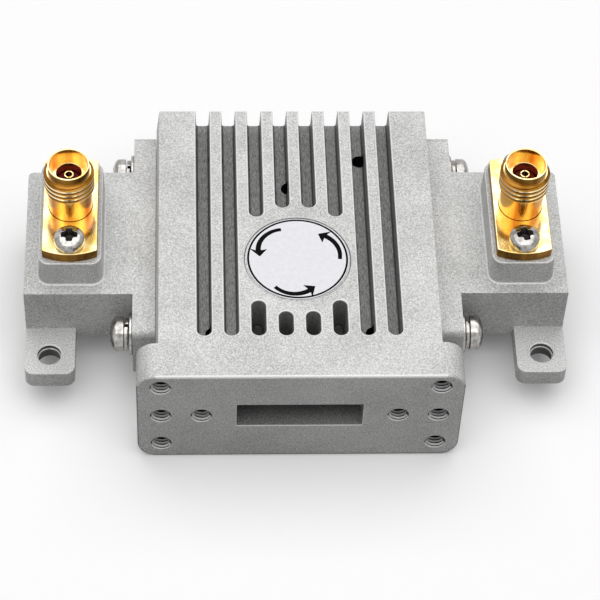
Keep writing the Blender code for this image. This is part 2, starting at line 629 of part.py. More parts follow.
def junction_pieces():
    place = (0, JUNCTION_Y, 0)

    # From the waveguide's top wall up to the label
    level = GUIDE_TOP + MAGNET_WEB + SEAT_GAP
    add_part("upper_pole_piece", disc(MAGNET_RADIUS, 0, POLE_HEIGHT), iron, (0, JUNCTION_Y, level))
    level += POLE_HEIGHT + SEAT_GAP
    add_part("upper_magnet", disc(MAGNET_RADIUS, 0, MAGNET_HEIGHT), magnet_steel, (0, JUNCTION_Y, level))
    level += MAGNET_HEIGHT + SEAT_GAP
    top = HOUSING_HEIGHT - LABEL_THICKNESS - SEAT_GAP
    seat = top - CAP_THICKNESS
    add_part("upper_magnet_cap", stepped_disc(level, MAGNET_RADIUS, seat, CAP_RADIUS, top), aluminium, place)
    level = top + SEAT_GAP
    add_part("circulation_label", disc(LABEL_RADIUS, 0, LABEL_THICKNESS), foil, (0, JUNCTION_Y, level))

    # From its bottom wall down to the underside
    level = GUIDE_FLOOR - MAGNET_WEB - SEAT_GAP - POLE_HEIGHT
    add_part("lower_pole_piece", disc(MAGNET_RADIUS, 0, POLE_HEIGHT), iron, (0, JUNCTION_Y, level))
    level -= MAGNET_HEIGHT + SEAT_GAP
    add_part("lower_magnet", disc(MAGNET_RADIUS, 0, MAGNET_HEIGHT), magnet_steel, (0, JUNCTION_Y, level))
    level -= SEAT_GAP
    seat = COVER_INSET + CAP_THICKNESS
    lower_cap = stepped_disc(COVER_INSET, CAP_RADIUS, seat, MAGNET_RADIUS, level)
    add_part("lower_magnet_cap", lower_cap, aluminium, place)

    # Between the two steps
    low = GUIDE_FLOOR + STEP_HEIGHT + SEAT_GAP
    high = GUIDE_TOP - STEP_HEIGHT - SEAT_GAP - FERRITE_HEIGHT
    add_part("lower_ferrite", disc(FERRITE_RADIUS, 0, FERRITE_HEIGHT, MEDIUM), ferrite, (0, JUNCTION_Y, low))
    add_part("upper_ferrite", disc(FERRITE_RADIUS, 0, FERRITE_HEIGHT, MEDIUM), ferrite, (0, JUNCTION_Y, high))
    low += FERRITE_HEIGHT + SEAT_GAP
    add_part("ferrite_spacer", disc(FERRITE_RADIUS, low, high - SEAT_GAP, MEDIUM), dielectric, place)


# Arms


def across(side, x_low, x_high):
    # A span of distances from the middle, on one side, in rising order of X.
    return sorted((side * x_low, side * x_high))


def socket_screw_places():
    return {"front": PORT_Y - SOCKET_SCREW_SPACING / 2, "back": PORT_Y + SOCKET_SCREW_SPACING / 2}


def arm(name, side):
    half = PLATE_LENGTH / 2
    plate = rounded_rectangle((PORT_Y - half, ARM_BOTTOM), (PORT_Y + half, ARM_TOP), PLATE_CORNER)
    ends = across(side, PLATE_INNER, PLATE_OUTER)
    part = add_part(f"{name}_arm", loft([[(x, y, z) for y, z in plate] for x in ends]), aluminium)

    # The box is rounded at its outer rear corner and ends square inside the plate.
    inner = (PLATE_INNER + PLATE_OUTER) / 2
    front, back = PORT_Y - ARM_BOX_LENGTH / 2, PORT_Y + ARM_BOX_LENGTH / 2
    outer = ARM_REACH - ARM_BOX_CORNER
    outline = [(inner, front), (ARM_REACH, front)]
    outline += arc((outer, back - ARM_BOX_CORNER), ARM_BOX_CORNER, 0, pi / 2, CORNER_STEPS)
    outline.append((inner, back))
    add(part, "box", prism([(side * x, y) for x, y in outline], ARM_BOTTOM, ARM_TOP))

    low, high = ARM_TOP - OVERSHOOT, BOSS_TOP
    rings = []
    for level in (low, high):
        flare = (high - level) * tan(BOSS_DRAFT)
        half = (BOSS_WIDTH / 2 + flare, BOSS_LENGTH / 2 + flare)
        outline = rounded_rectangle((-half[0], -half[1]), half, BOSS_CORNER + flare)
        rings.append([(side * SOCKET_OFFSET + x, PORT_Y + y, level) for x, y in outline])
    add(part, "boss", loft(rings))

    # The tab runs on under the box, whose front carries it.
    tab_front = front - TAB_REACH
    tab_back = front + TAB_UNDERLAP
    tab_low = ARM_BOTTOM - TAB_DROP
    tab_high = tab_low + TAB_THICKNESS
    tab_inner = ARM_REACH - TAB_WIDTH
    outline = arc((tab_inner + TAB_CORNER, tab_front + TAB_CORNER), TAB_CORNER, pi, 3 * pi / 2, CORNER_STEPS)
    outline += arc((ARM_REACH - TAB_CORNER, tab_front + TAB_CORNER), TAB_CORNER, -pi / 2, 0, CORNER_STEPS)
    outline += [(ARM_REACH, tab_back), (tab_inner, tab_back)]
    add(part, "tab", prism([(side * x, y) for x, y in outline], tab_low, tab_high))
    radius, chamfer = TAB_HOLE_RADIUS, TAB_HOLE_CHAMFER
    flare = radius + chamfer + OVERSHOOT
    hole = [
        (0, tab_low - OVERSHOOT),
        (flare, tab_low - OVERSHOOT),
        (radius, tab_low + chamfer),
        (radius, tab_high - chamfer),
        (flare, tab_high + OVERSHOOT),
        (0, tab_high + OVERSHOOT),
    ]
    hole_x = side * (ARM_REACH - TAB_HOLE_INSET)
    cut(part, "tab_hole", moved(turned(hole, MEDIUM), (hole_x, tab_front + TAB_HOLE_SETBACK, 0)))

    # Inside: the waveguide with its closed outer end, and the holes that open into it or beside it
    guide = GUIDE_WIDTH / 2
    ends = across(side, PLATE_INNER - OVERSHOOT, ARM_REACH - BACKSHORT_WALL)
    cut(part, "waveguide", box((ends[0], PORT_Y - guide, GUIDE_FLOOR), (ends[1], PORT_Y + guide, GUIDE_TOP)))
    axis = (side * SOCKET_OFFSET, PORT_Y, 0)
    feed = disc(BORE_RADIUS, GUIDE_TOP - OVERSHOOT, BOSS_TOP + OVERSHOOT, MEDIUM)
    cut(part, "feed_hole", moved(feed, axis))
    tapping = SOCKET_SCREW_RADIUS + SEAT_GAP
    depth = SOCKET_SCREW_SHANK - SOCKET_FLANGE_THICKNESS + 2 * SEAT_GAP
    down = Matrix.Rotation(pi, 4, "X")
    cut(part, "socket_tappings", joined([
        moved(drilling(tapping, -OVERSHOOT, depth), (axis[0], y, BOSS_TOP), down)
        for y in socket_screw_places().values()
    ]))
    clearance_hole = ARM_SCREW_RADIUS + 2 * FIT_GAP
    low, high = PLATE_INNER - OVERSHOOT, PLATE_OUTER + OVERSHOOT
    cut(part, "screw_holes", joined([
        moved(disc(clearance_hole, low, high, COARSE), (0, y, GUIDE_LEVEL), outward(side))
        for y in arm_screw_places().values()
    ]))


def pan_head(radius, height):
    # Upright side, then a dome, from the edge of the bearing face up to the axis.
    side = HEAD_SIDE * height
    dome = [(radius * x, side + (height - side) * y) for x, y in arc((0, 0), 1, 0, pi / 2, 4)[:-1]]
    return [(radius, 0), *dome, (0, height)]


def cross_recess(radius, height):
    # Two crossed wings that narrow downwards.
    rings = []
    for level, reach, half in RECESS_LEVELS:
        outline = rectangle((-reach * radius, -half * radius), (reach * radius, half * radius))
        rings.append([(x, y, level * height) for x, y in outline])
    return {"x": loft(rings), "y": moved(loft(rings), rotation=Matrix.Rotation(pi / 2, 4, "Z"))}


def pan_screw(name, head_radius, head_height, shank_radius, shank_length, location, rotation):
    # The bearing face lies at the location, and the head points along the part's own +Z.
    tip = TIP_CHAMFER * shank_radius
    profile = [
        (0, -shank_length),
        (shank_radius - tip, -shank_length),
        (shank_radius, tip - shank_length),
        (shank_radius, 0),
        *pan_head(head_radius, head_height),
    ]
    part = add_part(name, turned(profile, MEDIUM), steel, location, rotation.to_euler())
    for direction, wing in cross_recess(head_radius, head_height).items():
        cut(part, f"recess_{direction}", moved(wing, location, rotation))


def arm_fasteners(name, side):
    # From the plate outwards: flat washer, spring washer, screw head
    rotation = outward(side)
    for place, y in arm_screw_places().items():
        outer = PLATE_OUTER + SEAT_GAP
        bore = ARM_SCREW_RADIUS + FIT_GAP
        flat = ring(bore, FLAT_WASHER_RADIUS, 0, FLAT_WASHER_THICKNESS)
        spot = (side * outer, y, GUIDE_LEVEL)
        add_part(f"{name}_flat_washer_{place}", flat, steel, spot, rotation.to_euler())
        outer += FLAT_WASHER_THICKNESS + SEAT_GAP
        thick = SPRING_WASHER_THICKNESS
        section = [(bore, 0), (SPRING_WASHER_RADIUS, 0), (SPRING_WASHER_RADIUS, thick), (bore, thick)]
        spring = turned(section, COARSE, 2 * pi - SPRING_WASHER_SPLIT)
        spot = (side * outer, y, GUIDE_LEVEL)
        add_part(f"{name}_spring_washer_{place}", spring, steel, spot, rotation.to_euler())
        outer += thick + SEAT_GAP
        shank = outer - HOUSING_WIDTH / 2 + ARM_SCREW_DEPTH
        spot = (side * outer, y, GUIDE_LEVEL)
        sizes = (ARM_HEAD_RADIUS, ARM_HEAD_HEIGHT, ARM_SCREW_RADIUS, shank)
        pan_screw(f"{name}_arm_screw_{place}", *sizes, spot, rotation)


# Coaxial sockets


def socket_profile():
    # Up the outside from the flange to the lip, then down the bore.
    thread_low = SOCKET_FLANGE_THICKNESS + NECK_HEIGHT
    lip_low = thread_low + THREAD_LENGTH
    top = lip_low + LIP_HEIGHT
    root = THREAD_RADIUS - THREAD_DEPTH
    profile = [
        (SOCKET_FLANGE_RADIUS, 0),
        (SOCKET_FLANGE_RADIUS, SOCKET_FLANGE_THICKNESS),
        (NECK_RADIUS, SOCKET_FLANGE_THICKNESS),
        (NECK_RADIUS, thread_low),
    ]
    crest = THREAD_CREST * THREAD_PITCH
    for turn in range(THREAD_TURNS + 1):
        level = thread_low + turn * THREAD_PITCH
        profile += [(THREAD_RADIUS, level), (THREAD_RADIUS, level + crest)]
        if turn < THREAD_TURNS:
            profile.append((root, level + (THREAD_PITCH + crest) / 2))
    profile += [
        (LIP_RADIUS, lip_low),
        (LIP_RADIUS, top - LIP_CHAMFER),
        (LIP_RADIUS - LIP_CHAMFER, top),
        (MOUTH_RADIUS, top),
        (MOUTH_RADIUS, top - MOUTH_DEPTH),
        (BORE_RADIUS, top - MOUTH_DEPTH),
        (BORE_RADIUS, 0),
    ]
    return profile


def socket(name, side):
    place = (side * SOCKET_OFFSET, PORT_Y, SOCKET_BASE)
    part = add_part(f"{name}_coax_body", turned(socket_profile(), SOCKET_STEPS), gold, place)
    flat = SOCKET_FLANGE_WIDTH / 2
    far = SOCKET_FLANGE_RADIUS + OVERSHOOT
    low, high = -OVERSHOOT, SOCKET_FLANGE_THICKNESS + NECK_HEIGHT / 2
    flats = [box((start, -far, low), (end, far, high)) for start, end in ((-far, -flat), (flat, far))]
    cut(part, "flats", moved(joined(flats), place))
    hole = SOCKET_SCREW_RADIUS + FIT_GAP
    cut(part, "screw_holes", joined([
        moved(disc(hole, low, high, COARSE), (place[0], y, SOCKET_BASE))
        for y in socket_screw_places().values()
    ]))

    # The insulator goes through flange and boss down to the waveguide.
    wire = CONTACT_RADIUS + FIT_GAP
    insulator_low = GUIDE_TOP + SEAT_GAP
    insulator_high = SOCKET_TOP - INSULATOR_DEPTH
    sleeve = ring(wire, BORE_RADIUS - FIT_GAP, insulator_low, insulator_high)
    add_part(f"{name}_insulator", sleeve, bead_plastic, (place[0], PORT_Y, 0))

    # Contact: a tube at the top, a wire below, and a bead in the waveguide
    top = SOCKET_TOP - CONTACT_DEPTH
    low = GUIDE_TOP - PROBE_REACH
    chamfer = (CONTACT_RADIUS - CONTACT_BORE_RADIUS) / 4
    profile = [
        (0, low),
        (PROBE_RADIUS, low),
        (PROBE_RADIUS, low + PROBE_HEIGHT),
        (CONTACT_RADIUS, low + PROBE_HEIGHT),
        (CONTACT_RADIUS, top - chamfer),
        (CONTACT_RADIUS - chamfer, top),
        (CONTACT_BORE_RADIUS, top),
        (CONTACT_BORE_RADIUS, top - CONTACT_BORE_DEPTH),
        (0, top - CONTACT_BORE_DEPTH - CONTACT_BORE_RADIUS),
    ]
    add_part(f"{name}_contact", turned(profile, COARSE), gold, (place[0], PORT_Y, 0))

    for row, y in socket_screw_places().items():
        spot = (place[0], y, SOCKET_FLANGE_TOP + SEAT_GAP)
        sizes = (SOCKET_HEAD_RADIUS, SOCKET_HEAD_HEIGHT, SOCKET_SCREW_RADIUS, SOCKET_SCREW_SHANK)
        pan_screw(f"{name}_coax_screw_{row}", *sizes, spot, Matrix.Identity(4))


for old in list(bpy.data.objects):
    bpy.data.objects.remove(old)

aluminium = material("blasted_aluminium", (0.62, 0.62, 0.61), 0.45, 0.9)
steel = material("stainless_steel", (0.60, 0.59, 0.57), 0.22, 1.0)
gold = material("gold_plate", (0.86, 0.60, 0.22), 0.20, 1.0)
iron = material("soft_iron", (0.25, 0.25, 0.26), 0.40, 1.0)
magnet_steel = material("sintered_magnet", (0.35, 0.35, 0.37), 0.35, 1.0)
ferrite = material("ferrite_ceramic", (0.03, 0.03, 0.032), 0.50, 0.0)
dielectric = material("white_fluoroplastic", (0.86, 0.86, 0.84), 0.50, 0.0)
bead_plastic = material("dark_red_bead", (0.08, 0.012, 0.01), 0.35, 0.0)
foil = material("label_foil", (0.84, 0.84, 0.85), 0.50, 0.0)

assembly = bpy.data.objects.new("rf_circulator", None)
bpy.context.scene.collection.objects.link(assembly)

housing()
bottom_cover()
cover_screws()
junction_pieces()
for side_name, side_sign in SIDES.items():
    arm(side_name, side_sign)
    arm_fasteners(side_name, side_sign)
    socket(side_name, side_sign)
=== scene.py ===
from math import cos, pi, radians, sin, sqrt, tan

import bmesh
import bpy
from mathutils import Matrix, Vector


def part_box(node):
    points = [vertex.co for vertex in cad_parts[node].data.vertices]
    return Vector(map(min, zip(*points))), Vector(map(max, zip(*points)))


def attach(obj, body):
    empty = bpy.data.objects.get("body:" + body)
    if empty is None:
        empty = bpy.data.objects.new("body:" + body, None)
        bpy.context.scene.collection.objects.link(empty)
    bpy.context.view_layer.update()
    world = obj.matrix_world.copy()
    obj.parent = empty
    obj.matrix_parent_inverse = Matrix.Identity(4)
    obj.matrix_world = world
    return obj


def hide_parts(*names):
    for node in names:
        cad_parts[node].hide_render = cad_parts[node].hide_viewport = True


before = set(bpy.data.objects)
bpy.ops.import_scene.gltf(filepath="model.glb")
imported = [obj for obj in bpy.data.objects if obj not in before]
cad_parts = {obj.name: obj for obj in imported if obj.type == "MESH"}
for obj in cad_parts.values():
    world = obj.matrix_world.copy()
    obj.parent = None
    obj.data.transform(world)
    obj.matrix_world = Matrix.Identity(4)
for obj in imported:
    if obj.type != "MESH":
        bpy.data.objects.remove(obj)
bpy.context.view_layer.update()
mm = 0.001

# A microwave circulator on a pale floor: a finned housing with a waveguide flange at the front,
# and an arm on each side that ends in a gold-plated coaxial socket.
# Sizes in the dictionaries are millimetres. Places come from the frame, and pieces are built in metres.


# node and colour helpers

def hexColour(code):
    # an sRGB hex value as linear red, green, blue and alpha
    parts = [int(code[i:i + 2], 16) / 255 for i in (1, 3, 5)]
    return (*[p / 12.92 if p <= 0.04045 else ((p + 0.055) / 1.055) ** 2.4 for p in parts], 1)


def addNode(tree, kind, settings=None, links=None):
    # one shader node, with its settings, input values and incoming links
    made = tree.nodes.new("ShaderNode" + kind)
    for key, value in (settings or {}).items():
        if isinstance(key, str) and hasattr(made, key):
            setattr(made, key, value)
        else:
            made.inputs[key].default_value = value
    for key, source in (links or {}).items():
        tree.links.new(source, made.inputs[key])
    return made


def newMaterial(name):
    # an empty material, its node tree and the object's own coordinates
    made = bpy.data.materials.new(name)
    made.use_nodes = True
    tree = made.node_tree
    tree.nodes.clear()
    return made, tree, addNode(tree, "TexCoord").outputs["Object"]


def finishMaterial(made, settings, links):
    shader = addNode(made.node_tree, "BsdfPrincipled", settings, links)
    addNode(made.node_tree, "OutputMaterial", links={"Surface": shader.outputs[0]})
    return made


def stretched(tree, coords, scale):
    return addNode(tree, "Mapping", {"Scale": scale}, {"Vector": coords}).outputs[0]


def noise(tree, coords, cell, detail, roughness=0.5):
    # a noise texture whose pattern has cells of this many millimetres
    settings = {"Scale": 1000 / cell, "Detail": detail, "Roughness": roughness}
    return addNode(tree, "TexNoise", settings, {"Vector": coords}).outputs["Fac"]


def toneRamp(tree, source, dark, light, span):
    # a ramp between two tones, over this part of the source's range
    made = addNode(tree, "ValToRGB", links={"Fac": source})
    for key, place, tone in zip(made.color_ramp.elements, span, (dark, light)):
        key.position, key.color = place, hexColour(tone)
    return made.outputs["Color"]


def spread(tree, source, low, high):
    return addNode(tree, "MapRange", {"To Min": low, "To Max": high}, {"Value": source}).outputs[0]


def relief(tree, source, strength, height):
    # a bumpy surface, its height in millimetres
    return addNode(tree, "Bump", {"Strength": strength, "Distance": height * mm}, {"Height": source}).outputs[0]


def seenDirectly(tree):
    # 1 for rays from the camera, in mirror images and through glass, and 0 for all others
    rays = addNode(tree, "LightPath").outputs
    seen = rays["Is Camera Ray"]
    for kind in ("Is Glossy Ray", "Is Transmission Ray"):
        seen = addNode(tree, "Math", {"operation": "MAXIMUM"}, {0: seen, 1: rays[kind]}).outputs[0]
    return seen


# materials

blasting = {
    "grain": 0.19,  # mm, drawn twice as coarse as fine bead blasting so that it shows
    "fineGrain": 0.1,
    "patches": 9.0,  # slow change of tone over the part
    "dark": "#8c8c8a",
    "light": "#ececeb",
    "bump": 0.016,  # mm
    "fineShare": 0.4,
    "patchShare": 0.14,
    "metallic": 0.15,  # blasting breaks the mirror, so it takes light almost like a dull solid
}


def blastedAluminium(name, dark, light, roughness=0.5, streaks=None):
    # aluminium alloy, milled and then bead-blasted: dull, even and finely grained
    made, tree, coords = newMaterial(name)
    if streaks:
        coords = stretched(tree, coords, streaks)
    grain = noise(tree, coords, blasting["grain"], 2.0, 0.7)
    fine = noise(tree, coords, blasting["fineGrain"], 1.0)
    patches = noise(tree, coords, blasting["patches"], 2.0)
    both = addNode(tree, "Mix", {0: blasting["fineShare"]}, {2: grain, 3: fine}).outputs[0]
    slow = addNode(tree, "Mix", {0: blasting["patchShare"]}, {2: both, 3: patches}).outputs[0]
    return finishMaterial(made, {"Metallic": blasting["metallic"], "IOR": 1.5}, {
        "Base Color": toneRamp(tree, slow, dark, light, (0.36, 0.64)),
        "Roughness": spread(tree, fine, roughness - 0.08, roughness + 0.08),
        "Normal": relief(tree, both, 0.6, blasting["bump"]),
    })


def platedGold(name, dark, light, roughness):
    # hard gold over turned brass: bright, with fine marks and clouds that run down the turned parts
    made, tree, coords = newMaterial(name)
    cloud = noise(tree, stretched(tree, coords, (1, 1, 0.12)), 1.9, 2.0)
    return finishMaterial(made, {"Metallic": 1.0}, {
        "Base Color": toneRamp(tree, cloud, dark, light, (0.36, 0.62)),
        "Roughness": spread(tree, cloud, roughness - 0.05, roughness + 0.05),
        "Normal": relief(tree, noise(tree, coords, 0.2, 1.0), 0.25, 0.004),
    })


def mottled(name, dark, light, cell, settings, detail=3.0, span=(0.3, 0.7), bump=0.0, shine=None):
    # one tone with a faint mottle; cell and bump are millimetres, and shine is a range of roughness
    made, tree, coords = newMaterial(name)
    cloud = noise(tree, coords, cell, detail)
    links = {"Base Color": toneRamp(tree, cloud, dark, light, span)}
    if bump:
        links["Normal"] = relief(tree, cloud, 0.3, bump)
    if shine:
        links["Roughness"] = spread(tree, cloud, *shine)
    return finishMaterial(made, settings, links)


def plainSolid(name, dark, light, roughness, metallic, cell):
    # an inner part's finish
    settings = {"Roughness": roughness, "Metallic": metallic, "IOR": 1.5 if metallic else 1.3}
    return mottled(name, dark, light, cell, settings, bump=0.005)


aluminium = blastedAluminium("blastedAluminium", blasting["dark"], blasting["light"])
# the grooves keep the cutter's lengthwise marks, and their walls and floors are painted darker as shade
milledGroove = blastedAluminium("milledGroove", "#5a5a59", "#a9a9a8", 0.5, (1, 0.22, 1))
# painted shade: darker walls in the grooves' feet, the deep slots, the tab holes, the flange face's lower and side
# rounding and the waveguide's inside
drilledWall = blastedAluminium("drilledWall", "#3f3f3e", "#676766")
guideWall = blastedAluminium("guideWall", "#4e4e4d", "#b4b4b3")
# painted highlight: lighter faces on roundings and edges that face the lamps
rubbedEdge = blastedAluminium("rubbedEdge", "#d6d6d5", "#f2f2f1", 0.4)
gold = platedGold("goldPlate", "#ebc676", "#fbe9b6", 0.17)
# painted highlight: a paler gold on the thread's crests
crestGold = platedGold("crestGold", "#fdeab4", "#fff4d2", 0.2)
# painted shade and reflection: a darker, browner gold on the flange's rim, the neck's groove, the lower collar and the
# thread's hollows, where the plating mirrors dark surroundings
machinedGold = platedGold("machinedGold", "#56390f", "#8a6122", 0.34)
threadGold = platedGold("threadGold", "#664310", "#96682a", 0.3)
# painted reflection: a deeper gold on the mouth's wall and the neck, from what they mirror of the gold itself
deepGold = platedGold("deepGold", "#b16a1c", "#f0bb58", 0.2)
# stainless steel, cold-headed and passivated: bright, slightly uneven
steel = mottled("stainlessSteel", "#868380", "#b8b6b2", 0.7, {"Metallic": 1.0}, 3.0,
                span=(0.34, 0.66), bump=0.006, shine=(0.1, 0.2))
# satin white polyester film, and black screen-printing ink, nearly matt; the ink also draws a painted shadow ring near
# the film's edge
film = mottled("labelFilm", "#e2e2e6", "#eaeaee", 0.6, {"Roughness": 0.45, "IOR": 1.6}, 2.0)
ink = mottled("blackInk", "#060607", "#0c0c0d", 0.5, {"Roughness": 0.8, "IOR": 1.15}, 2.0)
# painted shade, nearly black, in the punched screw recesses, in drilled and threaded holes and along the flange face's
# lower rounding
recessShade = plainSolid("punchedRecess", "#141312", "#24221f", 0.5, 0.6, 0.4)
# the contact's bore sees no light
darkBore = plainSolid("unlitBore", "#0b0908", "#120e0b", 0.7, 0.0, 0.5)
# dark red moulded bead, sintered ferrite, PTFE, annealed iron and nickel-plated magnet
beadPlastic = plainSolid("darkRedBead", "#4c0508", "#5e0a0e", 0.7, 0.0, 0.8)
ferriteCeramic = plainSolid("sinteredFerrite", "#1a1a1b", "#29292b", 0.45, 0.0, 0.3)
ptfe = plainSolid("whitePtfe", "#dedfdd", "#ececea", 0.5, 0.0, 1.5)
annealedIron = plainSolid("annealedIron", "#6a6a6b", "#7d7d7e", 0.4, 1.0, 0.8)
platedMagnet = plainSolid("nickelPlatedMagnet", "#8b8b8a", "#a2a2a0", 0.3, 1.0, 1.2)
print("materials made")


# mesh helpers

cutting = {
    "nudges": (0, 0.0004, -0.0009, 0.0013, -0.0019),  # mm, one after another
    "slack": 0.5,  # mm of open edge and mm3 of metal that a cut may be off
    "least": 0.01,  # mm3 that every cut changes
    "reach": 0.01,  # mm by which the outer box may be off, and when something is taken away
    "reachTaken": 0.3,
    "wrong": 1000,  # a wrong volume or box counts as this much open edge
}


def upright(x, y, z=0.0):
    return Matrix.Translation((x, y, z))


def facing(side):
    # turns +Z to point away from the housing on that side
    return Matrix.Rotation(side * pi / 2, 4, "Y")


def ringOf(bm, halfX, halfY, corner, place, segments):
    # a rounded rectangle of edges: a circle whose four quarters are moved apart
    turn = Matrix.Rotation(pi / segments, 4, "Z")
    verts = bmesh.ops.create_circle(bm, segments=segments, radius=corner, matrix=turn)["verts"]
    for vert in verts:
        vert.co.x += (halfX - corner) * (1 if vert.co.x > 0 else -1)
        vert.co.y += (halfY - corner) * (1 if vert.co.y > 0 else -1)
    bmesh.ops.transform(bm, matrix=place, verts=verts)
    return list({edge for vert in verts for edge in vert.link_edges})


def stack(levels, place=Matrix(), segments=32):
    # a closed solid through rounded rectangles: height, half width, half depth and corner of each
    bm = bmesh.new()
    rings = [
        ringOf(bm, halfX, halfY, corner, place @ upright(0, 0, height), segments)
        for height, halfX, halfY, corner in levels
    ]
    for low, high in zip(rings, rings[1:]):
        bmesh.ops.bridge_loops(bm, edges=low + high)
    for end in (rings[0], rings[-1]):
        bmesh.ops.contextual_create(bm, geom=end)
    return outward(bm)


def edgeSteps(radius, steps=3):
    # inset and drop along a rounded edge, from its side to its end; a negative radius flares out
    turns = [i / steps * pi / 2 for i in range(steps + 1)]
    return [(radius * (1 - cos(a)), abs(radius) * (1 - sin(a))) for a in turns]


def outward(bm, place=Matrix()):
    # faces turned outwards, and all of it moved into place
    bmesh.ops.recalc_face_normals(bm, faces=bm.faces)
    bmesh.ops.transform(bm, matrix=place, verts=bm.verts)
    return bm


def trim(bm, place, direction):
    # cuts off what lies beyond a plane
    bmesh.ops.bisect_plane(bm, geom=bm.verts[:] + bm.edges[:] + bm.faces[:], plane_co=place, plane_no=direction,
                           clear_outer=True)


def fillOpen(bm):
    bmesh.ops.holes_fill(bm, edges=[edge for edge in bm.edges if edge.is_boundary], sides=0)


def prism(points, offset, inset=0):
    # a flat outline, drawn in by the inset and then swept along a straight line
    bm = bmesh.new()
    base = bm.faces.new([bm.verts.new(point) for point in points])
    if inset:
        rim = bmesh.ops.inset_individual(bm, faces=[base], thickness=inset, use_even_offset=True)["faces"]
        bmesh.ops.delete(bm, geom=rim, context="FACES")
    grown = bmesh.ops.extrude_face_region(bm, geom=bm.faces[:], use_keep_orig=True)["geom"]
    moved = [part for part in grown if isinstance(part, bmesh.types.BMVert)]
    bmesh.ops.translate(bm, vec=offset, verts=moved)
    return outward(bm)


def cuboid(low, high):
    bm = bmesh.new()
    low, high = Vector(low), Vector(high)
    place = Matrix.Translation((low + high) / 2) @ Matrix.Diagonal((*(high - low), 1))
    bmesh.ops.create_cube(bm, size=1, matrix=place)
    return bm


def roundUprights(bm, radius, chosen, segments=10):
    # rounds the upright edges that the test picks by where they stand
    edges = [
        edge for edge in bm.edges
        if (edge.verts[0].co.xy - edge.verts[1].co.xy).length < 0.001 * mm and chosen(*edge.verts[0].co.xy)
    ]
    bmesh.ops.bevel(bm, geom=edges, offset=radius, offset_type="OFFSET", segments=segments, profile=0.5,
                    affect="EDGES", material=-1)


def block(half, corner, low, high, lowEdge=0.0, highEdge=0.0, place=Matrix(), segments=32):
    # an upright block, with plan corners and with rounded or flared ends
    levels = []
    if lowEdge:
        levels += [(low + drop, inset) for inset, drop in reversed(edgeSteps(lowEdge))]
    else:
        levels.append((low, 0))
    if highEdge:
        levels += [(high - drop, inset) for inset, drop in edgeSteps(highEdge)]
    else:
        levels.append((high, 0))
    return stack(
        [(z, half[0] - inset, half[1] - inset, max(corner - inset, 0.02 * mm)) for z, inset in levels],
        place, segments,
    )


def turned(points, steps=64, place=Matrix()):
    # spins a profile of (radius, height) about Z; both its ends lie on the axis, or it closes on itself
    bm = bmesh.new()
    verts = [bm.verts.new((radius, 0, height)) for radius, height in points]
    edges = [bm.edges.new(pair) for pair in zip(verts, verts[1:])]
    if points[0][0] > 0 or points[-1][0] > 0:
        edges.append(bm.edges.new((verts[-1], verts[0])))
    bmesh.ops.spin(bm, geom=verts + edges, cent=(0, 0, 0), axis=(0, 0, 1), angle=2 * pi, steps=steps,
                   use_merge=True)
    bmesh.ops.remove_doubles(bm, verts=bm.verts, dist=0.0001 * mm)
    return outward(bm, place)


def lathe(points, steps=64, place=Matrix()):
    # a turned solid from (radius, height) in millimetres; a third value rounds that corner off
    profile = []
    for i, (radius, height, *rounding) in enumerate(points):
        if not rounding:
            profile.append((radius * mm, height * mm))
            continue
        corner = Vector((radius, height))
        before = (Vector(points[i - 1][:2]) - corner).normalized() * rounding[0]
        after = (Vector(points[(i + 1) % len(points)][:2]) - corner).normalized() * rounding[0]
        for share in (0, 0.25, 0.5, 0.75, 1):
            spot = corner + before * (1 - share) ** 2 + after * share ** 2
            profile.append((spot.x * mm, spot.y * mm))
    return turned(profile, steps, place)


def screwThread(crest, root, pitch, low, high, steps=40, place=Matrix()):
    # a helical thread as one solid: a pitch of its profile is swept up past both ends and cut off flat
    bm = bmesh.new()
    start = low - pitch
    profile = [(root, 0), (crest, 0.3), (crest, 0.64), (root, 0.94), (root, 1)]
    verts = [bm.verts.new((radius, 0, start + pitch * share)) for radius, share in profile]
    edges = [bm.edges.new(pair) for pair in zip(verts, verts[1:])]
    turns = int((high - low) / pitch) + 3
    bmesh.ops.spin(bm, geom=verts + edges, cent=(0, 0, 0), axis=(0, 0, 1), angle=2 * pi * turns,
                   steps=steps * turns, dvec=(0, 0, pitch / steps), use_merge=False)
    bmesh.ops.remove_doubles(bm, verts=bm.verts, dist=0.002 * mm)
    trim(bm, (0, 0, low), (0, 0, -1))
    trim(bm, (0, 0, high), (0, 0, 1))
    fillOpen(bm)
    return outward(bm, place)


def together(shells):
    # separate shells in one mesh, for one cut
    whole = bmesh.new()
    for shell in shells:
        mesh = bpy.data.meshes.new("shell")
        shell.to_mesh(mesh)
        shell.free()
        whole.from_mesh(mesh)
        bpy.data.meshes.remove(mesh)
    return whole


def newObject(name, bm, material):
    mesh = bpy.data.meshes.new(name)
    bm.to_mesh(mesh)
    bm.free()
    mesh.materials.append(material)
    made = bpy.data.objects.new(name, mesh)
    bpy.context.scene.collection.objects.link(made)
    return made


def applyModifiers(piece):
    graph = bpy.context.evaluated_depsgraph_get()
    solved = piece.evaluated_get(graph)
    made = bpy.data.meshes.new_from_object(solved, preserve_all_data_layers=True, depsgraph=graph)
    piece.modifiers.clear()
    old, piece.data = piece.data, made
    name = old.name
    bpy.data.meshes.remove(old)
    made.name = name


def merged(mesh, distance):
    # a copy to work on, where points this near to each other are one
    bm = bmesh.new()
    bm.from_mesh(mesh)
    bmesh.ops.remove_doubles(bm, verts=bm.verts, dist=distance * mm)
    return bm


def measure(mesh):
    # millimetres of edge that don't join exactly two faces, the volume in cubic millimetres, and the outer box
    bm = merged(mesh, 0.0005)
    length, volume = sum(edge.calc_length() for edge in bm.edges if not edge.is_manifold), bm.calc_volume()
    spots = [vert.co for vert in bm.verts] or [Vector()]
    box = [[pick(spot[axis] for spot in spots) / mm for axis in range(3)] for pick in (min, max)]
    bm.free()
    return length / mm, volume / mm ** 3, box


def boxAfter(operation, box, other):
    # the outer box that two solids have once they are joined or cut
    picks = {"UNION": (min, max), "INTERSECT": (max, min)}.get(operation)
    return [list(map(pick, a, b)) for pick, a, b in zip(picks, box, other)] if picks else box


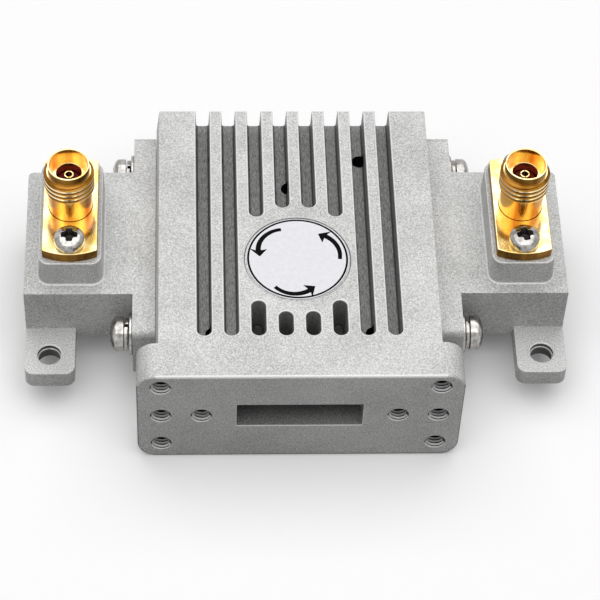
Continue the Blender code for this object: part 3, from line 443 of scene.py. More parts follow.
def carve(piece, bm, operation="DIFFERENCE"):
    # one Boolean, applied at once; the solver fails now and then, so where it leaves the mesh open or with a wrong
    # volume or box, the tool is moved a hair and the cut made again, and the best cut is kept
    tool = newObject("tool", bm, piece.data.materials[0])
    name, start = piece.data.name, piece.data.copy()
    opened, volume, box = measure(start)
    _, most, toolBox = measure(tool.data)
    wanted = boxAfter(operation, box, toolBox)
    reach = cutting["reachTaken" if operation == "DIFFERENCE" else "reach"]
    cuts = []
    for nudge in cutting["nudges"]:
        tool.data.transform(Matrix.Translation([nudge * mm] * 3))
        modifier = piece.modifiers.new("carve", "BOOLEAN")
        modifier.operation = operation
        modifier.solver = "EXACT"
        modifier.object = tool
        applyModifiers(piece)
        fault, size, box = measure(piece.data)
        change = size - volume if operation == "UNION" else volume - size
        off = max(abs(a - b) for found, right in zip(box, wanted) for a, b in zip(found, right))
        if off > reach or change < cutting["least"] or operation != "INTERSECT" and change > most + cutting["slack"]:
            fault += cutting["wrong"]
        cuts.append((fault, piece.data))
        if fault <= opened + cutting["slack"]:
            break
        print(piece.name, "cut again, fault", round(fault, 2), "change", round(change, 2), "box off by", round(off, 3))
        piece.data = start.copy()
    best = min(cuts, key=lambda cut: cut[0])[1]
    unused = [mesh for fault, mesh in cuts if mesh != best] + [start, tool.data]
    if piece.data != best:
        unused.append(piece.data)
        piece.data = best
    bpy.data.objects.remove(tool)
    for mesh in unused:
        bpy.data.meshes.remove(mesh)
    best.name = name


def softenEdges(piece, width, segments=2, angle=30, chosen=None):
    # rounds the sharp edges that the test picks, convex and concave alike
    bm = merged(piece.data, 0.0005)
    bmesh.ops.dissolve_limit(bm, angle_limit=radians(0.5), verts=bm.verts, edges=bm.edges)
    sharp = [
        edge for edge in bm.edges
        if edge.is_manifold and edge.calc_face_angle() > radians(angle) and (chosen is None or chosen(edge))
    ]
    bmesh.ops.bevel(bm, geom=sharp, offset=width, offset_type="OFFSET", segments=segments, profile=0.5,
                    affect="EDGES", material=-1, clamp_overlap=True)
    bm.to_mesh(piece.data)
    bm.free()


def closeGaps(piece):
    # fills the slivers that a Boolean may leave open
    bm = merged(piece.data, 0.0002)
    if any(edge.is_boundary for edge in bm.edges):
        fillOpen(bm)
        bm.to_mesh(piece.data)
    bm.free()


def dress(piece, slot, *nodes, angle=32):
    # smooth shading that leaves the large faces flat, its body and the solids it stands for, which it hides; the slot
    # is not used
    closeGaps(piece)
    piece.data.shade_smooth()
    piece.data.set_sharp_from_angle(angle=radians(angle))
    weights = piece.modifiers.new("weights", "WEIGHTED_NORMAL")
    weights.keep_sharp = True
    weights.weight = 100
    applyModifiers(piece)
    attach(piece, "root")
    if nodes:
        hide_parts(*nodes)
    return piece


def paint(piece, material, chosen):
    # a second finish on the faces that the test picks by their middle and direction
    piece.data.materials.append(material)
    slot = len(piece.data.materials) - 1
    for face in piece.data.polygons:
        if chosen(face.center, face.normal):
            face.material_index = slot


def boxOf(node):
    low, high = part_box(node)
    return low, high, (low + high) / 2


def roundNode(node):
    # radius, lowest and highest level in millimetres, and the place of its axis
    low, high, middle = boxOf(node)
    return (high.x - low.x) / 2 / mm, low.z / mm, high.z / mm, upright(middle.x, middle.y)


sides = {"left": -1, "right": 1}
rows = ("front", "back")
coverScrews = [node for node in sorted(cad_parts) if node.startswith("cover_screw")]


# housing

housing = {
    "lean": 0.38,  # each side leans in by this above the arms
    "leanFrom": 13.05,
    "halfWidth": 18.05,
    "backCorner": 0.4,
    "flangeDepth": 5.3,
    "flangeCorner": 2.5,
    "flangeEdge": 0.32,  # rounding round the flange face
    "earRadius": 1.2,  # its rear corners
    "fillet": 0.8,  # where it meets the sides
    "edge": 0.12,  # broken edges
    "grooves": 8,
    "pitch": 3.41,
    "grooveWidth": 1.87,
    "grooveDepth": 3.1,
    "draft": 2.5,  # degrees
    "grooveFillet": 0.32,
    "grooveEdge": 0.16,
    "setback": 6.5,
    "slotDepth": 5.0,
    "innerGaps": (8.4, 8.5),
    "outerGaps": (6.7, 7.0),
    "finCorner": 0.3,  # the fins' upper rear corners
}
waveguide = {
    "width": 15.8,
    "height": 4.4,
    "level": 8.7,
    "edge": 0.12,
    "corner": 0.12,
    "frontWall": 8.2,
    "sideWall": 3.0,
    "bend": 10.9,
    "stepRadius": 5.2,
    "stepHeight": 0.5,
    "pocketRadius": 5.98,
    "pocketWeb": 0.9,
    "capRadius": 6.83,
    "capSeat": 1.32,  # below the top
    "capEdge": 0.1,
}
flangeHole = {
    "major": 1.25,  # M2.5
    "minor": 1.02,
    "pitch": 0.45,
    "chamfer": 0.32,
    "depth": 4.4,
    "columns": ((-17.4, (-5.9, 0, 5.9)), (17.4, (-5.9, 0, 5.9)), (-12.35, (0,)), (12.35, (0,))),
}
tapping = {
    "radius": 1.0,
    "coverTop": 14.5,
    "armDepth": 4.7,
    "armRadius": 1.25,
    "point": 0.6,  # height of a drill point, in radii
    "coverPocketTop": 2.65,
    "coverCorner": 2.0,
}

low, high, middle = boxOf("housing")
front, back, top = low.y, high.y, high.z
junctionY = boxOf("circulation_label")[2].y
portY = boxOf("left_coax_body")[2].y
guideZ = waveguide["level"] * mm


def grooveCutter(x, start, end, depth):
    # floor fillet, leaning walls, and a rounded edge where it opens
    shape = housing
    lean = tan(radians(shape["draft"]))
    radius = shape["grooveWidth"] / 2 * mm
    fillet, edge = shape["grooveFillet"] * mm, shape["grooveEdge"] * mm
    marks = [(-depth * mm + drop, -inset) for inset, drop in reversed(edgeSteps(fillet))]
    marks += [(-drop, -inset) for inset, drop in edgeSteps(-edge)]
    marks.append((1.0 * mm, edge))
    levels = []
    for level, grow in marks:
        wide = grow + min(level, 0) * lean
        levels.append((top + level, radius + wide, (end - start) / 2 + wide, radius + wide))
    return stack(levels, upright(x, (start + end) / 2), 24)


def junctionBlock(inset, bottom, ceiling):
    # the Y-shaped waveguide in plan, with its two rear guides turned square to the side ports
    half = waveguide["width"] / 2 * mm
    reach = (housing["halfWidth"] - waveguide["sideWall"]) * mm
    right = [
        (half, front + waveguide["frontWall"] * mm),
        (half, junctionY - half / sqrt(3)),
        (reach, portY - half),
        (reach, portY + half),
        (waveguide["bend"] * mm, portY + half),
    ]
    outline = right + [(0, junctionY + 2 * half / sqrt(3))] + [(-x, y) for x, y in reversed(right)]
    return prism([(x, y, bottom) for x, y in outline], (0, 0, ceiling - bottom), inset)


def portCutter(place, depth):
    # a waveguide opening with a broken edge; local Z points out of the metal; a hair larger than the guide,
    # as faces that lie in one plane upset the Boolean
    half = [(waveguide[size] / 2 + 0.003) * mm for size in ("width", "height")]
    edge = waveguide["edge"] * mm
    levels = [(-depth, 0)] + [(-drop, -inset) for inset, drop in edgeSteps(-edge, 2)] + [(1.0 * mm, edge)]
    corner = waveguide["corner"] * mm
    return stack([(z, half[0] + grow, half[1] + grow, corner + grow) for z, grow in levels], place, 16)


def drillCutter(radius, depth, place, chamfer=0.0):
    # a drilled hole with its point; local Z points out of the metal
    bottom = -depth * mm
    points = [(0, bottom - radius * tapping["point"] * mm), (radius * mm, bottom)]
    points += [(radius * mm, -chamfer * mm), ((radius + chamfer + 1.0) * mm, 1.0 * mm), (0, 1.0 * mm)]
    return turned(points, 32, place)


def flangeHoleCutters():
    # threaded holes: the thread's crests are cut as far as the chamfer, and the drilling runs on below
    shape = flangeHole
    out = Matrix.Rotation(pi / 2, 4, "X")
    places = [upright(x * mm, front, guideZ + z * mm) @ out for x, levels in shape["columns"] for z in levels]
    threads = [
        screwThread(shape["major"] * mm, shape["minor"] * mm, shape["pitch"] * mm, -3.9 * mm, 0.3 * mm, 28, place)
        for place in places
    ]
    drillings = [drillCutter(shape["minor"], shape["depth"], place, shape["chamfer"]) for place in places]
    return together(threads), together(drillings)


def roundDisc(radius, lowZ, highZ, steps=64, place=Matrix()):
    return turned([(0, lowZ), (radius, lowZ), (radius, highZ), (0, highZ)], steps, place)


def makeHousing():
    shape = housing
    half = shape["halfWidth"] * mm
    halfFlange = high.x
    lean, bend = shape["lean"] * mm, shape["leanFrom"] * mm
    bodyFront = front + 2 * mm
    bodyHalf = (back - bodyFront) / 2
    corner = shape["backCorner"] * mm
    levels = [(0, half, bodyHalf, corner), (bend, half, bodyHalf, corner), (top, half - lean, bodyHalf, corner)]
    body = stack(levels, upright(0, (bodyFront + back) / 2), 32)
    piece = newObject("finnedHousing", body, aluminium)
    flange = stack(
        [(0, halfFlange, top / 2, shape["flangeCorner"] * mm),
         (shape["flangeDepth"] * mm, halfFlange, top / 2, shape["flangeCorner"] * mm)],
        upright(0, front, top / 2) @ Matrix.Rotation(-pi / 2, 4, "X"), 64,
    )
    carve(piece, flange, "UNION")

    flangeBack = front + shape["flangeDepth"] * mm

    def near(value, target):
        return abs(value - target) < 0.05 * mm

    def onFlangeFace(edge):
        return all(near(v.co.y, front) for v in edge.verts)

    def rearEar(edge):
        return all(near(v.co.y, flangeBack) and abs(v.co.x) > half + 0.5 * mm for v in edge.verts)

    def inCorner(edge):
        inside = half - lean - 0.1 * mm
        return all(near(v.co.y, flangeBack) and inside < abs(v.co.x) < half + 0.05 * mm for v in edge.verts)

    def upperRim(edge):
        return all(near(v.co.z, top) for v in edge.verts) or all(near(v.co.z, 0) for v in edge.verts)

    softenEdges(piece, shape["fillet"] * mm, 6, 30, inCorner)
    softenEdges(piece, shape["earRadius"] * mm, 8, 30, rearEar)
    softenEdges(piece, shape["flangeEdge"] * mm, 3, 30, onFlangeFace)
    softenEdges(piece, shape["edge"] * mm, 2, 30, upperRim)
    print("housing blank made")

    down = Matrix.Rotation(pi, 4, "X")
    carve(piece, together([
        drillCutter(tapping["radius"], tapping["coverTop"], upright(*boxOf(node)[2].xy) @ down)
        for node in coverScrews
    ]))

    cutters = []
    reach = back + shape["grooveWidth"] * mm + 1.0 * mm
    for i in range(shape["grooves"]):
        place = i - (shape["grooves"] - 1) / 2
        x, start = place * shape["pitch"] * mm, front + shape["setback"] * mm
        gaps = {0.5: shape["innerGaps"], 1.5: shape["outerGaps"]}.get(abs(place))
        if gaps:
            cutters.append(grooveCutter(x, start, junctionY - gaps[0] * mm, shape["slotDepth"]))
            start = junctionY + gaps[1] * mm
        cutters.append(grooveCutter(x, start, reach, shape["grooveDepth"]))
    carve(piece, together(cutters))
    carve(piece, finCornerCutter())

    ceiling = guideZ + waveguide["height"] / 2 * mm
    carve(piece, junctionBlock(0, -1.0 * mm, ceiling))
    out = Matrix.Rotation(pi / 2, 4, "X")
    carve(piece, portCutter(upright(0, front, guideZ) @ out, (waveguide["frontWall"] + 1) * mm))
    for side in sides.values():
        place = upright(side * half, portY, guideZ) @ facing(side) @ Matrix.Rotation(pi / 2, 4, "Z")
        carve(piece, portCutter(place, (waveguide["sideWall"] + 1) * mm))
    step = roundDisc(waveguide["stepRadius"] * mm, ceiling - waveguide["stepHeight"] * mm, ceiling + 0.45 * mm, 64,
                     upright(0, junctionY))
    carve(piece, step, "UNION")

    pocket, cap = waveguide["pocketRadius"] * mm, waveguide["capRadius"] * mm
    pocketFloor = ceiling + waveguide["pocketWeb"] * mm
    seat = top - waveguide["capSeat"] * mm
    edge = waveguide["capEdge"] * mm
    profile = [(0, pocketFloor), (pocket, pocketFloor), (pocket, seat), (cap, seat), (cap, top - edge)]
    profile += [(cap + edge, top), (cap + edge, top + 1.0 * mm), (0, top + 1.0 * mm)]
    carve(piece, turned(profile, 96, upright(0, junctionY)))

    coverLow, coverHigh, coverMiddle = boxOf("bottom_cover")
    fit = 0.08 * mm
    coverHalf = ((coverHigh.x - coverLow.x) / 2 + fit, (coverHigh.y - coverLow.y) / 2 + fit)
    carve(piece, block(coverHalf, tapping["coverCorner"] * mm, -1.0 * mm, tapping["coverPocketTop"] * mm, 0, 0,
                       upright(coverMiddle.x, coverMiddle.y)))
    threads, drillings = flangeHoleCutters()
    carve(piece, drillings)
    carve(piece, threads)
    holes = []
    for name, side in sides.items():
        for row in rows:
            spot = boxOf(f"{name}_arm_screw_{row}")[2]
            place = upright(side * half, spot.y, spot.z) @ facing(side)
            holes.append(drillCutter(tapping["armRadius"], tapping["armDepth"], place))
    carve(piece, together(holes))
    paintHousing(piece)
    print("housing cut")
    return dress(piece, "blasted_aluminium", "housing")


def finCornerCutter():
    # a bar behind the back, as long as the housing is wide, whose hollow front edge rounds the fins' rear corners
    radius = housing["finCorner"] * mm
    reach = housing["halfWidth"] * mm + 1.0 * mm
    behind, above = back + 1.0 * mm, top + 1.0 * mm
    arc = [(back - radius + radius * sin(a), top - radius + radius * cos(a))
           for a in [i / 6 * pi / 2 for i in range(7)]]
    outline = arc + [(behind, top - radius), (behind, above), (back - radius, above)]
    return prism([(-reach, y, z) for y, z in outline], (2 * reach, 0, 0))


def paintHousing(piece):
    # painted shade in the grooves, slots, holes and the waveguide's inside, and painted highlights on edges that face
    # the lamps, each as a finish of its own
    shape = housing
    half = shape["halfWidth"] * mm
    inside = half - 3 * mm
    start = front + (shape["setback"] - 0.2) * mm
    low, edge = top - (shape["slotDepth"] + 0.05) * mm, top - shape["grooveEdge"] * mm
    junction = Vector((0, junctionY))
    columns = [(x * mm, guideZ + z * mm) for x, levels in flangeHole["columns"] for z in levels]
    drilled = [boxOf(node)[2].xy for node in coverScrews]

    def overGrooves(spot):
        beyond = (spot.xy - junction).length > (waveguide["capRadius"] + 0.2) * mm
        return beyond and abs(spot.x) < inside and start < spot.y < back - 0.05 * mm

    def wallOrFloor(spot, normal):
        return overGrooves(spot) and low < spot.z < edge

    def wallFoot(spot, normal):
        return wallOrFloor(spot, normal) and 0.15 < normal.z < 0.93 and spot.z < top - 2.5 * mm

    def inSlot(spot, normal):
        return wallOrFloor(spot, normal) and spot.z < top - (shape["grooveDepth"] + 0.1) * mm

    def inCoverHole(spot, normal):
        return 6 * mm < spot.z < 15.4 * mm and any((spot.xy - hole).length < 1.02 * mm for hole in drilled)

    def inGuide(spot, normal):
        return (front + 0.2 * mm < spot.y < back - 1 * mm and abs(spot.x) < half - 1 * mm
                and abs(spot.z - guideZ) < (waveguide["height"] / 2 + 0.6) * mm)

    def inFlangeHole(spot, normal):
        reach = (flangeHole["minor"] + flangeHole["chamfer"] + 0.02) * mm
        return front + 0.01 * mm < spot.y < front + 7 * mm and any(
            (spot.x - x) ** 2 + (spot.z - z) ** 2 < reach ** 2 for x, z in columns)

    def litThread(spot, normal):
        return inFlangeHole(spot, normal) and normal.z > 0.1 and normal.y < -0.2 and spot.y < front + 1.6 * mm

    def guideRim(spot, normal):
        near = abs(spot.x) < 8.2 * mm and abs(spot.z - guideZ) < 2.5 * mm and spot.y < front + 0.15 * mm
        return near and -0.97 < normal.y < -0.2 and normal.z > -0.3

    def darkRim(spot, normal):
        # painted shade on the face's rounding where it turns down or to the side
        rounded = spot.y < front + shape["flangeEdge"] * mm and -0.99 < normal.y < -0.1
        atRim = abs(spot.x) > high.x - 1 * mm or spot.z < 1 * mm or spot.z > top - 1 * mm
        return rounded and atRim and normal.z < 0.15 and (normal.z < -0.1 or abs(normal.x) > 0.3)

    def highlightedEdge(spot, normal):
        if abs(spot.x) > high.x - shape["flangeCorner"] * mm and spot.y < front + (shape["flangeDepth"] + 1) * mm:
            return False
        upper = spot.z > top - 0.4 * mm and 0.2 < normal.z < 0.97
        rim = spot.y < front + 0.4 * mm and -0.97 < normal.y < -0.2 and spot.z > top - 2 * mm
        return (upper and abs(normal.x) + abs(normal.y) > 0.2) or rim

    # painted shade: darker groove walls and floors
    paint(piece, milledGroove, wallOrFloor)
    # painted shade inside the waveguide
    paint(piece, guideWall, inGuide)
    # painted shade at the grooves' feet, in the deep slots and on the flange face's lower and side rounding
    paint(piece, drilledWall, lambda spot, normal: wallFoot(spot, normal) or inSlot(spot, normal)
          or darkRim(spot, normal))
    # painted shade, nearly black, in the cover screws' holes, the flange's threaded holes and along the flange face's
    # lower rounding
    paint(piece, recessShade, lambda spot, normal: inCoverHole(spot, normal) or inFlangeHole(spot, normal)
          or (darkRim(spot, normal) and normal.z < -0.1))
    # painted highlights on upward and forward roundings, on the lit turns of the flange holes' threads and round the
    # waveguide's opening
    paint(piece, rubbedEdge, lambda spot, normal: highlightedEdge(spot, normal) or litThread(spot, normal)
          or guideRim(spot, normal))


makeHousing()


# arms

arm = {
    "height": 8.6,
    "reach": 34.85,  # outer face
    "plateInner": 18.1,
    "plateOuter": 21.0,
    "plateHalf": 16.6,
    "plateCorner": 1.0,
    "boxInner": 19.5,  # inside the plate
    "boxHalf": 10.2,  # front and back faces, off the port's middle
    "boxCorner": 0.7,  # the outer rear one
    "boss": (4.0, 8.5),  # half sizes at its top
    "bossCorner": 1.4,
    "bossHeight": 4.0,
    "bossDraft": 2.0,  # degrees
    "bossFoot": 0.25,  # fillet at its foot
    "bossEdge": 0.18,
    "socketX": 28.9,
    "edge": 0.16,  # broken edges
    "tab": (28.45, -13.4, -2.0, 3.4, 5.9),  # inner side, front, back, underside, top
    "tabCorner": 1.25,
    "tabFillet": 0.4,  # where its inner side meets the box
    "tabHole": (31.75, -10.2, 1.52),
    "guideEnd": 32.55,
    "feedRadius": 1.58,
    "screwHole": 1.36,
}


def makeArm(name, side):
    shape = arm
    zLow, zHigh = guideZ - shape["height"] / 2 * mm, guideZ + shape["height"] / 2 * mm
    boxFront, boxBack = portY - shape["boxHalf"] * mm, portY + shape["boxHalf"] * mm
    reach = shape["reach"] * mm
    plate = block((shape["height"] / 2 * mm, shape["plateHalf"] * mm), shape["plateCorner"] * mm,
                  shape["plateInner"] * mm, shape["plateOuter"] * mm, 0, 0,
                  upright(0, portY, guideZ) @ facing(side), 48)
    piece = newObject(name + "Arm", plate, aluminium)

    xLow, xHigh = sorted((side * shape["boxInner"] * mm, side * reach))
    body = cuboid((xLow, boxFront, zLow), (xHigh, boxBack, zHigh))
    roundUprights(body, shape["boxCorner"] * mm, lambda x, y: y > portY and abs(x) > 30 * mm)
    carve(piece, body, "UNION")

    tabInner, tabFront, tabBack, tabLow, tabHigh = [value * mm for value in shape["tab"]]
    xLow, xHigh = sorted((side * tabInner, side * reach))
    tab = cuboid((xLow, tabFront, tabLow), (xHigh, tabBack, tabHigh))
    roundUprights(tab, shape["tabCorner"] * mm, lambda x, y: y < tabFront + 0.1 * mm)
    carve(piece, tab, "UNION")

    def besideTab(edge):
        upwards = abs(edge.verts[0].co.z - edge.verts[1].co.z) > 0.5 * mm
        return upwards and all(abs(v.co.y - boxFront) < 0.02 * mm and abs(abs(v.co.x) - tabInner) < 0.02 * mm
                               for v in edge.verts)

    softenEdges(piece, shape["tabFillet"] * mm, 5, 30, besideTab)
    softenEdges(piece, shape["edge"] * mm, 3, 30)

    grow = shape["bossHeight"] * tan(radians(shape["bossDraft"]))
    marks = [(-1.0, grow * (1 + 1 / shape["bossHeight"]))]
    marks += [(shape["bossHeight"] - drop, -inset) for inset, drop in edgeSteps(shape["bossEdge"], 4)]
    half, corner = shape["boss"], shape["bossCorner"]
    levels = [
        (height * mm, (half[0] + out) * mm, (half[1] + out) * mm, (corner + out) * mm)
        for height, out in marks
    ]
    socketX = side * shape["socketX"] * mm
    carve(piece, stack(levels, upright(socketX, portY, zHigh), 48), "UNION")

    def atFoot(edge):
        return all(abs(v.co.z - zHigh) < 0.01 * mm and abs(v.co.x - socketX) < (half[0] + 0.5) * mm
                   and abs(v.co.y - portY) < (half[1] + 0.5) * mm for v in edge.verts)

    softenEdges(piece, shape["bossFoot"] * mm, 4, 30, atFoot)

    # waveguide, closed at its outer end, and the hole that leads up from it to the socket
    inwards = upright(side * shape["plateInner"] * mm, portY, guideZ) @ facing(-side)
    depth = (shape["guideEnd"] - shape["plateInner"]) * mm
    carve(piece, portCutter(inwards @ Matrix.Rotation(pi / 2, 4, "Z"), depth))
    bossTop = zHigh + shape["bossHeight"] * mm
    carve(piece, roundDisc(shape["feedRadius"] * mm, guideZ, bossTop + 1 * mm, 48, upright(socketX, portY)))
    holes, clear = [], shape["screwHole"]
    for row in rows:
        spot = boxOf(f"{name}_coax_screw_{row}")[2]
        holes.append(drillCutter(0.95, 3.85, upright(spot.x, spot.y, bossTop), 0.1))
        spot = boxOf(f"{name}_arm_screw_{row}")[2]
        across = upright(side * shape["plateOuter"] * mm, spot.y, spot.z) @ facing(side)
        holes.append(lathe([(0, -4), (clear, -4), (clear, -0.1), (clear + 0.6, 0.5), (0, 0.5)], 40, across))
    carve(piece, together(holes))

    # tab hole: a broken edge above and below, and a shallow step half way
    x, y, radius = shape["tabHole"]
    low, high = tabLow / mm, tabHigh / mm
    narrow = radius - 0.14
    profile = [(0, low - 0.5), (radius + 0.7, low - 0.5), (radius, low + 0.2), (radius, low + 1.1)]
    profile += [(narrow, low + 1.2), (narrow, high - 0.75), (radius, high - 0.7), (radius, high - 0.16)]
    profile += [(radius + 0.66, high + 0.5), (0, high + 0.5)]
    carve(piece, lathe(profile, 64, upright(side * x * mm, y * mm)))
    hole = Vector((side * x * mm, y * mm))
    # painted shade on the tab hole's walls
    paint(piece, drilledWall, lambda spot, normal: (spot.xy - hole).length < (radius + 0.02) * mm
          and abs(normal.z) < 0.6)
    # painted highlight on upward-facing roundings, outside the plate's rounded ends and the tab hole
    ends = (shape["plateHalf"] - shape["plateCorner"]) * mm
    paint(piece, rubbedEdge, lambda spot, normal: 0.2 < normal.z < 0.97 and abs(spot.y - portY) < ends
          and (spot.xy - hole).length > radius * mm)
    return dress(piece, "blasted_aluminium", name + "_arm")


# coaxial sockets

socket = {
    "base": 17.05,
    "flange": (8.2, 3.5, 1.45),  # radius, half the distance across its flats, thickness
    "flangeEdge": 0.14,
    "neck": 2.8,
    "threadLow": 5.1,
    "threadHigh": 8.22,
    "crest": 3.175,
    "root": 2.755,
    "pitch": 0.75,
    "lip": 2.65,
    "top": 9.42,
    "mouth": 2.43,
    "mouthFloor": 7.82,
    "bore": 1.58,
    "screwHole": 0.98,
    "screwY": 6.1,
    "relief": (2.7, 2.87, 0.07),  # a fine groove round the neck's foot: inner and outer radius, depth
}


def makeSocket(name, side):
    shape = socket
    place = upright(side * arm["socketX"] * mm, portY, shape["base"] * mm)
    low, high, crest, root = [shape[key] for key in ("threadLow", "threadHigh", "crest", "root")]
    thread = screwThread(crest * mm, root * mm, shape["pitch"] * mm, low * mm, high * mm, 64)
    piece = newObject(name + "CoaxBody", thread, gold)
    # the thread's ends are chamfered, and a plain core carries it
    carve(piece, lathe([(0, low), (root + 0.05, low), (crest + 0.1, low + 0.3), (crest + 0.1, high - 0.3),
                        (root + 0.05, high), (0, high)], 96), "INTERSECT")
    neck, lip, tall = shape["neck"], shape["lip"], shape["top"]
    core = [(0, 0.5), (neck, 0.5), (neck, low, 0.08), (lip, low + 0.02), (lip, tall, 0.09), (0, tall)]
    carve(piece, lathe(core, 96), "UNION")
    radius, half, thick = shape["flange"]
    disc = roundDisc(radius * mm, 0, thick * mm, 96)
    for direction in (-1, 1):
        trim(disc, (direction * half * mm, 0, 0), (direction, 0, 0))
        fillOpen(disc)
    bmesh.ops.recalc_face_normals(disc, faces=disc.faces)
    carve(piece, disc, "UNION")

    def onFlange(edge):
        return all(v.co.z < (thick + 0.01) * mm and v.co.xy.length > 3.3 * mm for v in edge.verts)

    softenEdges(piece, shape["flangeEdge"] * mm, 3, 40, onFlange)
    hole = shape["screwHole"]
    carve(piece, together([
        lathe([(0, -1), (hole, -1), (hole, 3), (0, 3)], 32, upright(0, y * mm))
        for y in (-shape["screwY"], shape["screwY"])
    ]))
    bore, mouth, floor = shape["bore"], shape["mouth"], shape["mouthFloor"]
    inner, outer, deep = shape["relief"]
    foot, above = thick - deep, thick + 0.05
    carve(piece, lathe([(inner, foot), (outer, foot), (outer, above), (inner, above)], 96))
    inside = [(0, -1), (bore, -1), (bore, floor - 0.06), (bore + 0.06, floor), (mouth, floor)]
    inside += [(mouth, tall - 0.06), (mouth + 0.07, tall + 0.01), (mouth + 0.07, 11), (0, 11)]
    carve(piece, lathe(inside, 96))

    def darkGoldSpot(spot, normal):
        away = spot.xy.length
        rim = spot.z < (thick - 0.05) * mm and away > 3.3 * mm and abs(normal.z) < 0.6
        groove = (thick - 0.1) * mm < spot.z < (thick + 0.06) * mm and 2.69 * mm < away < 2.91 * mm
        collar = high * mm < spot.z < (tall - 0.1) * mm and away > (lip - 0.03) * mm
        return rim or groove or collar

    def hollow(spot, normal):
        away = spot.xy.length
        return (low + 0.03) * mm < spot.z < high * mm and (lip - 0.03) * mm < away < (crest - 0.04) * mm

    def mouthOrNeck(spot, normal):
        away = spot.xy.length
        inMouth = spot.z > (floor + 0.05) * mm and away < (mouth + 0.03) * mm
        onNeck = (thick + 0.1) * mm < spot.z < low * mm and 2.6 * mm < away < 2.9 * mm
        return (inMouth or onNeck) and abs(normal.z) < 0.5

    # painted shade and reflection: darker gold on the flange's rim, the neck's groove, the collar and the thread's
    # hollows; painted highlight on the crests; painted reflection in the mouth and on the neck
    paint(piece, machinedGold, darkGoldSpot)
    paint(piece, threadGold, hollow)
    paint(piece, crestGold, lambda spot, normal: low * mm < spot.z < high * mm
          and spot.xy.length >= (crest - 0.04) * mm)
    paint(piece, deepGold, mouthOrNeck)
    piece.data.transform(place)
    return dress(piece, "gold_plate", name + "_coax_body", angle=28)


def makeInsulator(name):
    # a sleeve from the waveguide's ceiling up into the barrel
    outer, base, top, place = roundNode(name + "_insulator")
    profile = [(0.7, base), (outer, base, 0.1), (outer, top, 0.1), (0.8, top, 0.06), (0.7, top - 0.12)]
    piece = newObject(name + "Insulator", lathe(profile, 64, place), beadPlastic)
    return dress(piece, "dark_red_plastic", name + "_insulator")


contact = {
    "probe": (1.1, 0.8),  # radius and length of the bead in the waveguide
    "tube": (0.62, 0.42),  # outer and inner radius
    "slot": (0.05, 1.5),  # half width and depth
}


def makeContact(name):
    # a slotted tube at the top, a wire below and a bead in the waveguide
    _, base, top, place = roundNode(name + "_contact")
    (probe, length), (outer, inner), (half, depth) = contact.values()
    profile = [(0, base), (probe, base, 0.15), (probe, base + length, 0.15), (outer, base + length)]
    profile += [(outer, top, 0.07), (inner, top, 0.05), (inner, top - 2.2), (0, top - 2.6)]
    piece = newObject(name + "Contact", lathe(profile, 48), gold)
    for x, y in ((half, 0.9), (0.9, half)):
        carve(piece, cuboid((-x * mm, -y * mm, (top - depth) * mm), (x * mm, y * mm, (top + 1) * mm)))
    paint(piece, darkBore, lambda spot, normal: (top - 3) * mm < spot.z < (top - 0.15) * mm
          and spot.xy.length < (inner + 0.02) * mm)
    piece.data.transform(place)
    return dress(piece, "gold_plate", name + "_contact")


# screws and washers

panScrews = {
    # head radius, head height, shank radius, shank length and thread pitch
    "coax": (1.93, 1.6, 0.9, 5.2, 0.4),
    "arm": (2.25, 1.85, 1.2, 7.0, 0.45),
}
recess = {
    "floor": 0.42,  # in head heights
    "low": (0.24, 0.11),  # half length and half width there, in head radii
    "high": (0.64, 0.25),  # and at the head's top
    "cone": 0.4,
    "edge": 0.05,  # mm
}


def makePanScrew(name, node, kind, place, shankLength=None):
    radius, height, shank, length, pitch = panScrews[kind]
    length = shankLength or length
    side = 0.5 * height
    dome = [(radius * cos(a), side + (height - side) * sin(a)) for a in [i / 10 * pi / 2 for i in range(10)]]
    head = [(0, -0.2), (shank * 0.7, -0.2), (shank * 0.7, 0), (radius, 0, 0.1), *dome, (0, height)]
    piece = newObject(name, lathe(head, 64), steel)
    carve(piece, screwThread(shank * mm, shank * 0.8 * mm, pitch * mm, -length * mm, 0.3 * mm, 24), "UNION")
    low, high = recess["low"], recess["high"]
    for turn in (0, pi / 2):
        wing = stack([
            (recess["floor"] * height * mm, low[0] * radius * mm, low[1] * radius * mm, low[1] * radius * 0.5 * mm),
            (1.05 * height * mm, high[0] * radius * mm, high[1] * radius * mm, high[1] * radius * 0.5 * mm),
        ], Matrix.Rotation(turn, 4, "Z"), 16)
        carve(piece, wing)
    cone = recess["cone"] * radius
    carve(piece, lathe([(0, (recess["floor"] - 0.12) * height), (cone * 0.75, recess["floor"] * height),
                        (cone, 1.1 * height), (0, 1.1 * height)], 24, Matrix.Rotation(pi / 24, 4, "Z")))

    def onRecessRim(edge):
        return all(v.co.z > 0.75 * height * mm and v.co.xy.length < 0.75 * radius * mm for v in edge.verts)

    softenEdges(piece, recess["edge"] * mm, 2, 40, onRecessRim)

    def punched(spot, normal):
        away = min(spot.xy.length / (radius * mm), 1)
        surface = (side + (height - side) * sqrt(1 - away ** 2)) * mm
        return 0.2 * height * mm < spot.z < surface - 0.06 * mm and away < 0.72 and normal.y < 0.35

    # painted shade in the recess, except on faces turned to the back
    paint(piece, recessShade, punched)
    piece.data.transform(place)
    return dress(piece, "stainless_steel", node)


flatWasher = {"inner": 1.3, "outer": 2.75, "thick": 0.4}
springWasher = {
    "inner": 1.3,
    "outer": 2.1,
    "thick": 0.48,
    "rise": 0.1,  # from one end to the other
    "turn": 348,  # degrees
    "steps": 48,
}
coverScrew = {
    "head": (1.85, 1.2),  # radius and height
    "core": 0.6,
    "thread": (0.95, 0.77, 0.4),  # crest, root and pitch
    "key": (0.75, 0.7, 0.85),  # half the distance across the flats, depth, depth of its point
}


def besideHousing(node, side):
    # its nearest and farthest distance from the middle plane, and the place on its inner face
    low, high, middle = boxOf(node)
    near, far = sorted((abs(low.x), abs(high.x)))
    return near, far, upright(side * near, middle.y, middle.z) @ facing(side)


